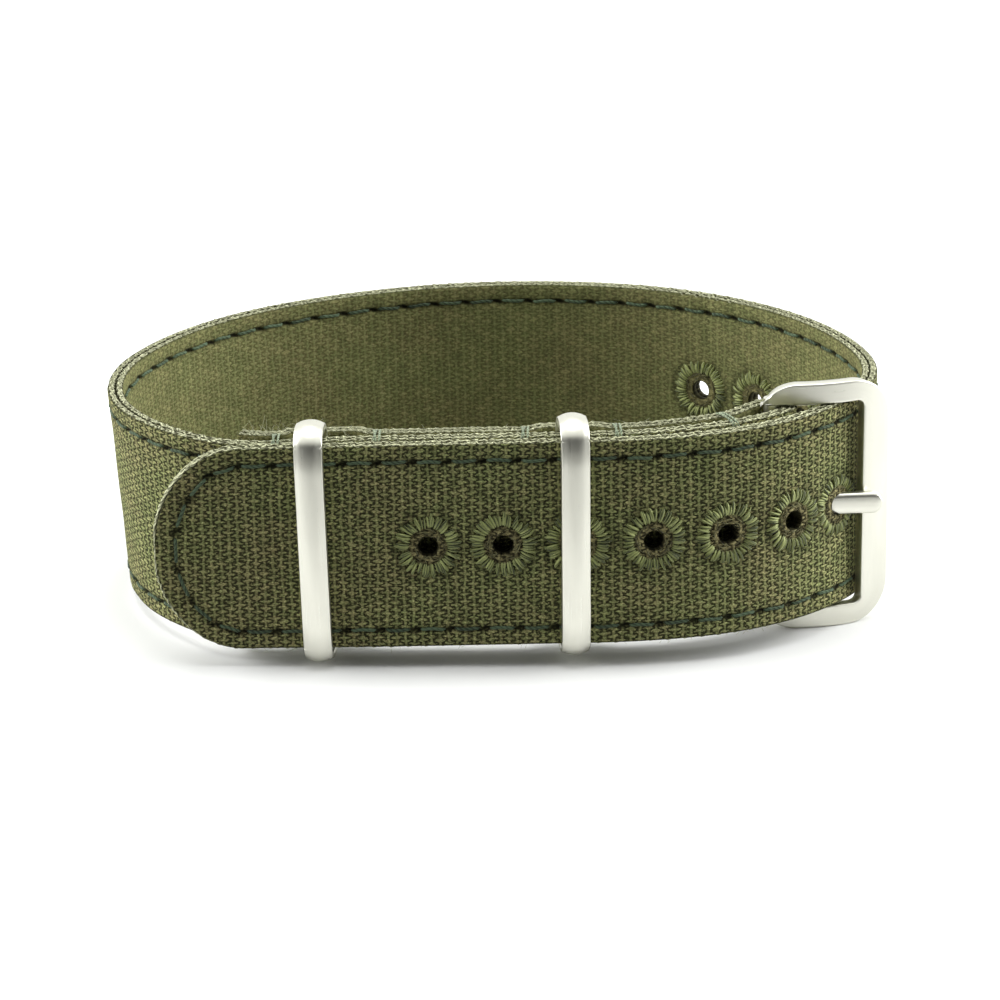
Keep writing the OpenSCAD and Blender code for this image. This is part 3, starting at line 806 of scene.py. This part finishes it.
def canvas_ply(name, low, high, show, material):
    """A closed ply between two distances from the strap's middle. show is 1 where its outer
    face is the one seen, and -1 where it is the inner one."""
    seen_out, hidden_out = (high, low) if show > 0 else (low, high)
    seen = canvas_face(seen_out, show, True)
    hidden = canvas_face(hidden_out, -show, False)
    count = first = len(seen[0])
    points, uv, shade = ([a, b] for a, b in zip(seen[:3], hidden[:3]))
    faces = [seen[3], hidden[3] + first]
    count += len(hidden[0])
    s = stations()
    half = boundary_height(s)
    for sign, column in ((1, -1), (-1, 0)):
        lines = [seen[4][:, column]]
        for f, deep in edge_groove:
            z = sign * (half - deep * np.clip(half / half_w, 0, 1))
            points.append(spot(s, z, seen_out + (hidden_out - seen_out) * f))
            uv.append(np.stack([s, z + sign * (f + 0.1) * (high - low)], -1))
            # Painted shade in the groove of the cut edge, between the edge yarns.
            shade.append(np.full(len(s), 0.18))
            lines.append(np.arange(len(s)) + count)
            count += len(s)
        lines.append(hidden[4][:, column] + first)
        for a, b in zip(lines, lines[1:]):
            quads = np.stack([a[:-1], a[1:], b[1:], b[:-1]], -1)
            faces.append(quads if sign * show > 0 else quads[:, ::-1])
    uv, shade = np.concatenate(uv), np.concatenate(shade)
    # Painted shade on the wall of each eyelet hole, so that the hole looks black.
    for a, b in zip(seen[5], hidden[5]):
        b = b + first
        shade[a] = shade[b] = 0.12
        quads = np.stack([a, np.roll(a, -1), np.roll(b, -1), b], -1)
        faces.append(quads if show > 0 else quads[:, ::-1])
    from_eyelet = np.min(np.hypot(uv[:, :1] - eyelet_spots, uv[:, 1:]), axis=1)
    warm = np.clip((ring_in_r + 0.2 - from_eyelet) / 0.3, 0, 1)
    return mend(make_object(name, np.concatenate(points), [q for f in faces for q in f.tolist()],
                            material, uv, {"shade": shade, "warm": warm}))


dress(canvas_ply("outer_canvas", 0.0, face, 1, outer_canvas), "strap", "canvas_outer",
      "outer_ply")
dress(canvas_ply("inner_canvas", -face, 0.0, -1, lining_canvas), "strap", "canvas_lining",
      "inner_ply")


# Sewing thread
def stitch_path(s0, z0, s1, z1, side):
    """A stitch from one hole to the next, down in both holes and just proud between them."""
    t = np.linspace(0, 1, 9)
    rise = np.clip(np.sin(np.pi * t) * 2.8, 0, 1)
    out = side * (face - 0.34 + 0.32 * rise)
    inset = 0.115
    s = s0 + (s1 - s0) * (inset + (1 - 2 * inset) * t)
    z = z0 + (z1 - z0) * (inset + (1 - 2 * inset) * t) + 0.05 * np.sin(2 * np.pi * t + s0)
    return spot(s, z, out), outward(s) * side


def stitch_rows(side):
    parts = Parts()
    for row in (-1, 1):
        for i in range(int((strap_len - first_hole) / stitch_pitch)):
            s0 = first_hole + i * stitch_pitch
            z0, z1 = row * stitch_z + rng.normal(0, 0.04, 2)
            path, up = stitch_path(s0, z0, s0 + stitch_pitch, z1, side)
            add_strand(parts, path, up, 0.8 * thread_r, 0.13, 6)
    for i in range(tip_stitches):
        path, up = stitch_path(*tip_hole(i), *tip_hole(i + 1), side)
        add_strand(parts, path, up, 0.8 * thread_r, 0.13, 6)
    return parts


dress(stitch_rows(1).object("needle_stitches", sewing), "strap", "thread", "needle_thread")
dress(stitch_rows(-1).object("bobbin_stitches", sewing), "strap", "thread", "bobbin_thread")


# Embroidered eyelets
def embroidered(k):
    """Satin stitches side by side round the hole, on both faces, with ragged outer ends."""
    parts = Parts()
    e = eyelet_at(k)
    pressed = 0.1 if k == held else 0.0
    for side in (1, -1):
        for i in range(satin_strands):
            a = 2 * pi * (i + rng.normal(0, 0.2)) / satin_strands
            r0 = ring_in_r - 0.1 + rng.uniform(-0.1, 0.16)
            r1 = ring_out_r + rng.uniform(-0.36, 0.14)
            t = np.linspace(0, 1, 5)
            r = r0 + (r1 - r0) * t
            turn = a + (0.04 + rng.normal(0, 0.05)) * t
            rise = np.sin(np.pi * np.clip(t * 0.9 + 0.04, 0, 1)) ** 0.6
            out = side * (face - 0.17 - pressed + (0.27 + rng.uniform(-0.05, 0.05)) * rise)
            s = e + r * np.cos(turn)
            wide = rng.uniform(0.075, 0.15) + 0.045 * t
            add_strand(parts, spot(s, r * np.sin(turn), out), outward(s) * side, wide, 0.1, 5, 0.5)
    return parts


def frayed(k):
    """Cut yarns that lie about the punched hole."""
    parts = Parts()
    e = eyelet_at(k)
    for side in (1, -1):
        for i in range(frayed_yarns):
            a = rng.uniform(0, 2 * pi)
            r = rng.uniform(hole_r + 0.08, ring_in_r - 0.1)
            t = np.linspace(-1, 1, 4)
            turn = a + rng.uniform(0.12, 0.4) * t
            r = np.clip(r + rng.normal(0, 0.14) * t, hole_r + 0.04, ring_in_r + 0.1)
            out = side * (face + 0.01 + rng.uniform(-0.03, 0.06) * (1 - t * t))
            s = e + r * np.cos(turn)
            thick = rng.uniform(0.025, 0.06)
            add_strand(parts, spot(s, r * np.sin(turn), out), outward(s) * side, thick, thick, 4,
                       0.4)
    return parts


for k in range(1, eyelets + 1):
    dress(embroidered(k).object(f"embroidery_{k}", satin), "strap", "embroidery", f"eyelet_{k}")
    dress(frayed(k).object(f"frayed_canvas_{k}", frayed_yarn), "strap", "canvas_outer")


# Cut edges
def edge_table():
    """The canvas's outline from the end of the fold-back along the top, round the tip and back."""
    s_top = np.arange(strap_len, tip_len, -0.1)
    a = np.linspace(pi / 2, 1.5 * pi, 300)
    s = np.concatenate([s_top, tip_len + tip_len * np.cos(a), s_top[::-1]])
    z = np.concatenate([np.full(len(s_top), half_w), half_w * np.sin(a),
                        np.full(len(s_top), -half_w)])
    length = np.concatenate([[0], np.cumsum(np.hypot(np.diff(s), np.diff(z)))])
    return length, s, z


edge_len, edge_s, edge_z = edge_table()


def edge_spot(d, inwards, out):
    """Points near the outline: d along it, inwards into the canvas."""
    s, z = np.interp(d, edge_len, edge_s), np.interp(d, edge_len, edge_z)
    s2, z2 = np.interp(d + 0.2, edge_len, edge_s), np.interp(d + 0.2, edge_len, edge_z)
    ds, dz = s2 - s, z2 - z
    norm = np.maximum(np.hypot(ds, dz), 1e-6)
    return spot(s + inwards * dz / norm, z + inwards * ds / norm, out), s


def edge_yarns(low, high):
    """Yarns that run along a ply's cut edge, over and under the ends of the cross yarns."""
    parts = Parts()
    mid = (low + high) / 2
    total = edge_len[-1] - 0.4
    for phase in (0, 1):
        d = np.arange(0.1, total, column_pitch / 4)
        marks = np.arange(0, total + 9, 4.3)
        loose = np.interp(d, marks, rng.normal(0, 0.035, len(marks)))
        wave = np.cos(np.pi * (d / column_pitch + phase))
        out = mid + 0.2 * wave + loose
        inwards = 0.1 + 0.06 * np.sin(np.pi * d / column_pitch * 2 + 1) + 0.05 * phase \
            + np.abs(loose)
        path, s = edge_spot(d, inwards, out)
        add_strand(parts, path, outward(s), 0.12, 0.14, 5)
    for i in range(int(total / column_pitch)):
        d0 = (i + 0.5) * column_pitch + rng.normal(0, 0.05)
        reach = rng.uniform(-0.1, 0.05)
        out = mid + rng.normal(0, 0.08)
        d = d0 + np.linspace(0, rng.normal(0, 0.12), 3)
        path, s = edge_spot(d, np.array([0.35, 0.05, -reach]), np.full(3, out))
        add_strand(parts, path, outward(s), [0.17, 0.15, 0.1], [0.15, 0.13, 0.08], 4)
    return parts


for name, low, high, slot in (("outer_edge_yarns", 0.0, face, "canvas_outer"),
                              ("inner_edge_yarns", -face, 0.0, "canvas_lining")):
    dress(edge_yarns(low, high).object(name, cut_yarn), "strap", slot)


def loose_fibres():
    """Fine hairs that stand out of the cut edges, and more of them at the fold-back's end."""
    parts = Parts()
    total = edge_len[-1]
    for i in range(hairs):
        near_end = i < end_hairs
        d0 = rng.uniform(0, 9) if near_end else rng.uniform(0, total)
        if i % 2 and near_end:
            d0 = total - d0
        length = rng.uniform(0.4, 1.4) if near_end else rng.uniform(0.2, 0.7)
        t = np.linspace(0, 1, 5)
        drift = rng.normal(0, 0.55) * t * length + rng.normal(0, 0.3) * t ** 2 * length
        out = rng.uniform(-face, face) + rng.normal(0, 0.45) * t * length
        rise = 0.1 - length * (t - 0.35 * rng.uniform(0, 1.4) * t ** 2)
        path, s = edge_spot(np.clip(d0 + drift, 0.01, total - 0.3), rise, out)
        add_strand(parts, path, outward(s), 0.014, 0.014, 3)
    return parts


dress(loose_fibres().object("loose_fibres", cut_yarn), "strap", "canvas_outer")


# Cross seams
def seam_strands(t):
    """Three strands over each edge, and stitches down the faces that they hold together."""
    parts = Parts()
    s0 = base_len - t
    rear = -(strap_t + space(t) + face)
    for row in (1, -1):
        for shift_a, shift_b in ((-0.25, 0.3), (0.1, -0.2), (0.35, 0.5)):
            a = np.linspace(0, np.pi, 12)
            s = s0 + shift_a + (shift_b - shift_a) * np.linspace(0, 1, 12)
            middle, half = (face + rear) / 2, (face - rear) / 2 + 0.07
            out = middle + half * np.cos(a)
            z = row * (half_w - 0.55 + 0.68 * np.sin(a) ** 0.6)
            add_strand(parts, spot(s, z, out), np.array([0, 0, row]), 0.11, 0.09, 6)
    for side, out in ((1, face), (-1, rear)):
        for i in range(seam_stitches):
            z0, z1 = (-half_w + 0.9 + k * (strap_w - 1.8) / seam_stitches for k in (i, i + 1))
            u = np.linspace(0, 1, 9)
            rise = np.clip(np.sin(np.pi * u) * 2.4, 0, 1)
            s = s0 + 0.12 * np.cos(np.pi * (i + u)) * side
            z = z0 + (z1 - z0) * (0.06 + 0.88 * u)
            path = spot(s, z, out + side * (-0.25 + 0.3 * rise))
            add_strand(parts, path, outward(s) * side, 0.16, 0.12, 6)
    return parts


for k, t in enumerate(reversed(seam_at)):
    dress(seam_strands(t).object(f"cross_stitches_{k + 1}", seam_thread), "strap", "thread",
          f"cross_seam_{k + 1}")


# Rigid pieces
def local(place, lean=0.0, yaw=0.0):
    """Turns points of a piece drawn at its own place into points of the part's frame."""
    h, b = radians(place[2] + yaw), radians(lean)
    lean_m = np.array([[cos(b), 0, sin(b)], [0, 1, 0], [-sin(b), 0, cos(b)]])
    turn_m = np.array([[cos(h), -sin(h), 0], [sin(h), cos(h), 0], [0, 0, 1]])
    shift = np.array([place[0], place[1], 0])
    return lambda p: np.asarray(p) @ (turn_m @ lean_m).T + shift


def arc_points(cx, cz, r, a0, a1, n):
    a = np.radians(np.linspace(a0, a1, n))
    return np.stack([cx + r * np.cos(a), cz + r * np.sin(a)], -1)


def ring_outline(x0, x1, high, r, bow=0.0):
    """A rounded rectangle from x0 at the front to x1 at the rear, whose front is drawn in
    towards both ends by an arc that stands bow deep. Any two of them match point by point."""
    tilt = 13.0 if bow else 0.0
    top_z = high / 2
    front_x = x0 + bow + r * cosd(tilt)
    end_z = top_z - r + r * sind(tilt)
    z = end_z * np.sin(np.linspace(1, -1, 61) * pi / 2)
    x = np.full(len(z), x0)
    if bow:
        run = 2 * bow / tan(radians(tilt))
        x = x0 + bow * np.clip((np.abs(z) - (end_z - run)) / run, 0, 1) ** 2
    side_x = np.linspace(0, 1, 22)[1:-1]
    back_z = np.linspace(-1, 1, 22)[1:-1] * (top_z - r)
    top = arc_points(front_x, top_z - r, r, 90, 180 - tilt, 14)
    rear_low = arc_points(x1 - r, r - top_z, r, -90, 0, 14)
    low_x = front_x + (x1 - r - front_x) * side_x
    flip = [1, -1]
    return np.concatenate([
        top, np.stack([x, z], -1)[1:-1], top[::-1] * flip,
        np.stack([low_x, np.full(len(low_x), -top_z)], -1), rear_low,
        np.stack([np.full(len(back_z), x1), back_z], -1), rear_low[::-1] * flip,
        np.stack([low_x[::-1], np.full(len(low_x), top_z)], -1)])


def loop_normals(points):
    ahead = np.roll(points, -1, 0) - np.roll(points, 1, 0)
    normal = np.stack([ahead[:, 1], -ahead[:, 0]], -1)
    return normal / np.linalg.norm(normal, axis=1)[:, None]


def keeper_mesh(name, place, lean, yaw, slide, lift):
    """A ring of domed bar, drawn in a little at both ends of its front."""
    front = layer_step + strap_t / 2 + keeper_clear + keeper_wall
    rear = strap_t / 2 + keeper_clear + keeper_back
    high = strap_w + keeper_play + 2 * keeper_wall
    outer = ring_outline(-front, rear, high, keeper_corner, keeper_bow)
    inner = ring_outline(keeper_wall - front, rear - keeper_back, high - 2 * keeper_wall,
                         keeper_inner_corner)
    normal = loop_normals(outer)
    half, edge_r, inner_r = keeper_len / 2, 0.16, 0.08
    x = np.linspace(-half + edge_r, half - edge_r, 13)
    dome = np.sqrt(keeper_dome ** 2 - x ** 2) - keeper_dome
    a = np.radians([60, 30, 0])
    round_x = half - edge_r + edge_r * np.cos(a)
    round_y = dome[-1] - edge_r + edge_r * np.sin(a)
    section = [(outer, *p) for p in zip(x, dome)] + [(outer, *p) for p in zip(round_x, round_y)]
    under = [(half, inner_r), (half - inner_r / 3, inner_r / 3), (half - inner_r, 0),
             (half / 2, 0), (0, 0)]
    section += [(inner, *p) for p in under] + [(inner, -u, v) for u, v in under[-2::-1]]
    section += [(outer, -u, v) for u, v in zip(round_x[::-1], round_y[::-1])]
    length = run_length(outer)
    n, m = len(outer), len(section)
    rings = [np.column_stack([np.full(n, u + slide), ring + normal * v]) for ring, u, v in section]
    uv = [np.stack([length, np.full(n, u + 9 * (ring is inner))], -1) for ring, u, v in section]
    points = local(place, lean, yaw)(np.stack(rings, 1).reshape(-1, 3)) + [0, 0, lift]
    return mend(make_object(name, points, grid_faces(n, m, True), steel,
                            np.stack(uv, 1).reshape(-1, 2)))


left_keeper = along(base, base_places, base_len - seam_at[4] + left_keeper_at)
right_keeper = along(base, base_places, base_len - seam_at[2] + right_keeper_at)
dress(keeper_mesh("ring_keeper_1", left_keeper, *left_stance), "keeper_1", "steel", "keeper_1")
dress(keeper_mesh("ring_keeper_2", right_keeper, *right_stance), "keeper_2", "steel", "keeper_2")


def buckle_mesh():
    """The buckle's plate as a band along its arms and front bar, bowed round the plate's arc and
    thicker round the pin."""
    end = buckle_len + bar_w / 2 * cosd(half_bow)
    inside = buckle_len - bar_w / 2 * cosd(half_bow)
    far, near = buckle_w / 2, half_w + arm_clear
    arm = np.linspace(0, 1, 30)[1:-1, None]
    pin_end = arc_points(pin_corner - boss_r, pin_corner - far, pin_corner, 200, 270, 20)
    bar_end = arc_points(end - bar_corner, bar_corner - far, bar_corner, -90, 0, 20)
    outer = np.concatenate([pin_end, pin_end[-1] + (bar_end[0] - pin_end[-1]) * arm, bar_end])
    hook = np.stack([np.linspace(-0.9 * boss_r, 1.5, 20), np.full(20, -near)], -1)
    corner = arc_points(inside - opening_corner, opening_corner - near, opening_corner, -90, 0, 20)
    inner = np.concatenate([hook, hook[-1] + (corner[0] - hook[-1]) * arm, corner])
    bar = np.linspace(-1, 1, 34)[1:-1]

    def whole(half_line, reach):
        middle = np.stack([np.full(len(bar), half_line[-1, 0]), bar * reach], -1)
        return np.concatenate([half_line, middle, half_line[::-1] * [1, -1]])
    outer, inner = whole(outer, far - bar_corner), whole(inner, near - opening_corner)
    chord, turn = radians(chord_turn), radians(bar_turn)
    mid = np.array([buckle_len * cos(chord) - plate_r * sin(turn),
                    buckle_len * sin(chord) + plate_r * cos(turn)])
    back = np.array([-sin(chord), cos(chord)])

    def bowed(x, z, h):
        """A point of the flat outline on the plate's arc, h above its middle surface."""
        line = np.stack([x * cos(chord), x * sin(chord)], -1)
        rel = line - mid
        along_back = rel @ back
        reach = np.sqrt(np.maximum(plate_r ** 2 - (np.sum(rel ** 2, -1) - along_back ** 2), 0.01))
        on = line + back * (-along_back - reach)[..., None]
        p = on - (mid - on) / plate_r * h[..., None]
        return np.stack([p[..., 0], p[..., 1], z], -1)

    width = np.linalg.norm(outer - inner, axis=1)
    across = (inner - outer) / width[:, None]
    middle = (outer + inner) / 2
    thick = plate_t / 2 + 0.25 * np.exp(-(middle[:, 0] / 0.7) ** 2)
    thick *= np.clip((middle[:, 0] + 1.35 * boss_r) / boss_r, 0.3, 1) ** 0.5
    r = np.minimum(0.15, np.minimum(0.4 * width, 0.5 * thick))
    rounding = np.radians(np.linspace(-90, 90, 9))
    section = [(0, 1 - cos(a), a) for a in rounding]
    section += [(f, 0, pi / 2) for f in np.linspace(0, 1, 9)[1:-1]]
    section += [(1, cos(a) - 1, a) for a in rounding[::-1]]
    section += [(f, 0, -pi / 2) for f in np.linspace(1, 0, 9)[1:-1]]
    length = run_length(middle)
    rings, uv = [], []
    for f, in_r, a in section:
        p = outer + across * (width * f + in_r * r)[:, None]
        rings.append(bowed(p[:, 0], p[:, 1], np.sign(sin(a)) * (thick - r) + r * sin(a)))
        uv.append(np.stack([length, np.full(len(p), f * bar_w + a)], -1))
    points = local((pin[0], pin[1], prong_dir), plate_lean)(np.stack(rings, 1).reshape(-1, 3))
    return mend(make_object("buckle_plate", points, bar_faces(len(outer), len(section)), steel,
                            np.stack(uv, 1).reshape(-1, 2)))


def prong_mesh():
    """The prong, rolled round the pin at one end and rounded at its tip."""
    ring_r = pin_r + pin_clear + curl_t / 2
    reach, point = buckle_len + prong_over, 1.0
    curl = np.radians(np.linspace(35, 320, 30))
    path = [(ring_r * cos(x), ring_r * sin(x)) for x in curl]
    for x in np.concatenate([np.linspace(1.5, 2.6, 5), np.linspace(3.2, reach - 1.2, 16)]):
        blend = min(max((x - 1.3) / 1.4, 0), 1)
        path.append((x, -0.75 * (1 - blend * blend * (3 - 2 * blend))))
    path += [(x, 0.0) for x in np.linspace(reach - point, reach - 0.02, 8)]
    path = np.array(path)
    n, m = len(path), 20
    ahead = np.gradient(path, axis=0)
    ahead /= np.linalg.norm(ahead, axis=1)[:, None]
    side = np.stack([-ahead[:, 1], ahead[:, 0]], -1)
    thick = np.interp(np.arange(n), [0, 29, 36, n - 1], [curl_t, curl_t, prong_t, prong_t]) / 2
    tip_f = np.clip((path[:, 0] - (reach - point)) / point, 0, 1)
    wide = prong_w / 2 * np.sqrt(np.clip(1 - tip_f ** 2, 0.02, 1))
    thick = thick * (1 - 0.45 * tip_f ** 3)
    b = 2 * np.pi * np.arange(m) / m
    across, over = (np.sign(f) * np.abs(f) ** 0.55 for f in (np.cos(b), np.sin(b)))
    points = np.zeros((n, m, 3))
    points[..., :2] = path[:, None] + side[:, None] * (thick[:, None] * across)[..., None]
    points[..., 2] = wide[:, None] * over
    uv = np.stack([np.repeat(run_length(path), m), np.tile(np.arange(m) * 0.3, n)], -1)
    points = local((pin[0], pin[1], prong_dir))(points.reshape(-1, 3))
    return mend(make_object("prong_bar", points, bar_faces(n, m), steel, uv))


dress(buckle_mesh(), "buckle", "steel", "buckle_frame")
dress(prong_mesh(), "prong", "steel", "prong")
pin_node = frame["nodes"]["buckle_pin"]
pin_node.data.materials.clear()
pin_node.data.materials.append(steel_material("pin_steel"))


# Floor
def make_floor():
    """White to the camera. What it throws back on the strap and shows in the metal fades away
    in front, where the studio is dark."""
    mesh = bpy.data.meshes.new("floor")
    mesh.from_pydata([(-3, -3, 0), (3, -3, 0), (3, 3, 0), (-3, 3, 0)], [], [(0, 1, 2, 3)])
    n = Nodes(bpy.data.materials.new("floor_white"))
    rays = n.node("ShaderNodeLightPath").outputs
    away = n.ramp(n.split(n.place("Object"))[1], -0.03, -0.13)
    bounce = n.mix(away, colour(0.55, 0.55, 0.55), colour(0.06, 0.06, 0.06))
    mirrored = n.mix(away, colour(0.86, 0.86, 0.85), colour(0.25, 0.25, 0.24))
    tone = n.mix(rays["Is Glossy Ray"], bounce, mirrored)
    seen = n.math("MAXIMUM", rays["Is Camera Ray"], rays["Is Transmission Ray"])
    n.surface({"Base Color": n.mix(seen, tone, colour(0.92, 0.93, 0.92)), "Roughness": 1.0,
               "Specular IOR Level": 0.0, "Emission Color": colour(1, 1, 1),
               "Emission Strength": n.mul(rays["Is Camera Ray"], 0.02)})
    mesh.materials.append(n.owner)
    place_object("floor", mesh)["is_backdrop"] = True


make_floor()


# Light
def area_light(name, place, size, watts):
    data = bpy.data.lights.new(name, "AREA")
    data.shape = "DISK"
    data.size = size
    data.energy = watts
    obj = place_object(name, data)
    obj.location = place
    aim = Vector((0, 0, 0.01)) - Vector(place)
    obj.rotation_euler = aim.to_track_quat("-Z", "Y").to_euler()


area_light("top", (0.0, 0.08, 0.75), 0.7, 4.0)
area_light("left", (-0.7, 0.1, 0.3), 0.6, 6.0)
area_light("right", (0.72, 0.14, 0.3), 0.6, 6.4)


def make_world():
    """A white surround, dark in front where the photographer stands."""
    world = bpy.data.worlds.new("surround")
    bpy.context.scene.world = world
    n = Nodes(world)
    n.tree.nodes.clear()
    way = n.split(n.place("Generated"))
    aside = n.math("POWER", n.math("ABSOLUTE", way[0]), 2.0)
    above = n.math("ABSOLUTE", n.sub(way[2], 0.2))
    front = n.ramp(way[1], 0.1, -0.3)

    def dark(reach, tall, soft):
        off = n.add(n.div(aside, reach ** 2), n.math("POWER", n.div(above, tall), 2.0))
        return n.mul(front, n.ramp(off, 1.0 + soft, 1.0 - soft))
    wide, narrow = dark(0.8, 0.75, 0.5), dark(0.95, 0.4, 0.75)
    lit = n.mix(wide, colour(0.76, 0.76, 0.76), colour(0.02, 0.02, 0.02))
    mirrored = n.mix(narrow, colour(1.08, 1.08, 1.04), colour(0.02, 0.02, 0.018))
    rays = n.node("ShaderNodeLightPath").outputs
    tone = n.mix(rays["Is Glossy Ray"], lit, mirrored)
    tone = n.mix(rays["Is Camera Ray"], tone, colour(1, 1, 1))
    background = n.node("ShaderNodeBackground", {"Color": tone, "Strength": 1.0})
    n.node("ShaderNodeOutputWorld", {0: background.outputs[0]})


make_world()

# Camera, at the place from which the photograph was taken
camera_el = radians(18.9)
camera_roll = radians(-1.1)
camera_far = 480.0
pixels_per_mm = 10.74
picture = 1000
aim_pixel = (500, 545)
aim_x = 32.1


def make_camera():
    zoom = pixels_per_mm * camera_far
    right = np.array([1.0, 0, 0])
    ahead = np.array([0, cos(camera_el), -sin(camera_el)])
    up = np.cross(right, ahead)
    right, up = (cos(camera_roll) * right + sin(camera_roll) * up,
                 -sin(camera_roll) * right + cos(camera_roll) * up)
    a, b = ((p - picture / 2) / zoom for p in aim_pixel)
    place = -(ahead + a * right - b * up) * camera_far + np.array([aim_x, 0, 0])
    data = bpy.data.cameras.new("camera")
    data.lens = zoom / picture * data.sensor_width
    data.clip_start = 0.01
    data.clip_end = 20
    obj = place_object("camera", data)
    axes = np.stack([right, up, -ahead]) @ turned
    matrix = Matrix(axes.T.tolist()).to_4x4()
    matrix.translation = Vector(to_world(place))
    obj.matrix_world = matrix
    bpy.context.scene.camera = obj


make_camera()
bpy.context.scene.view_settings.view_transform = "Standard"

low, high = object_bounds()
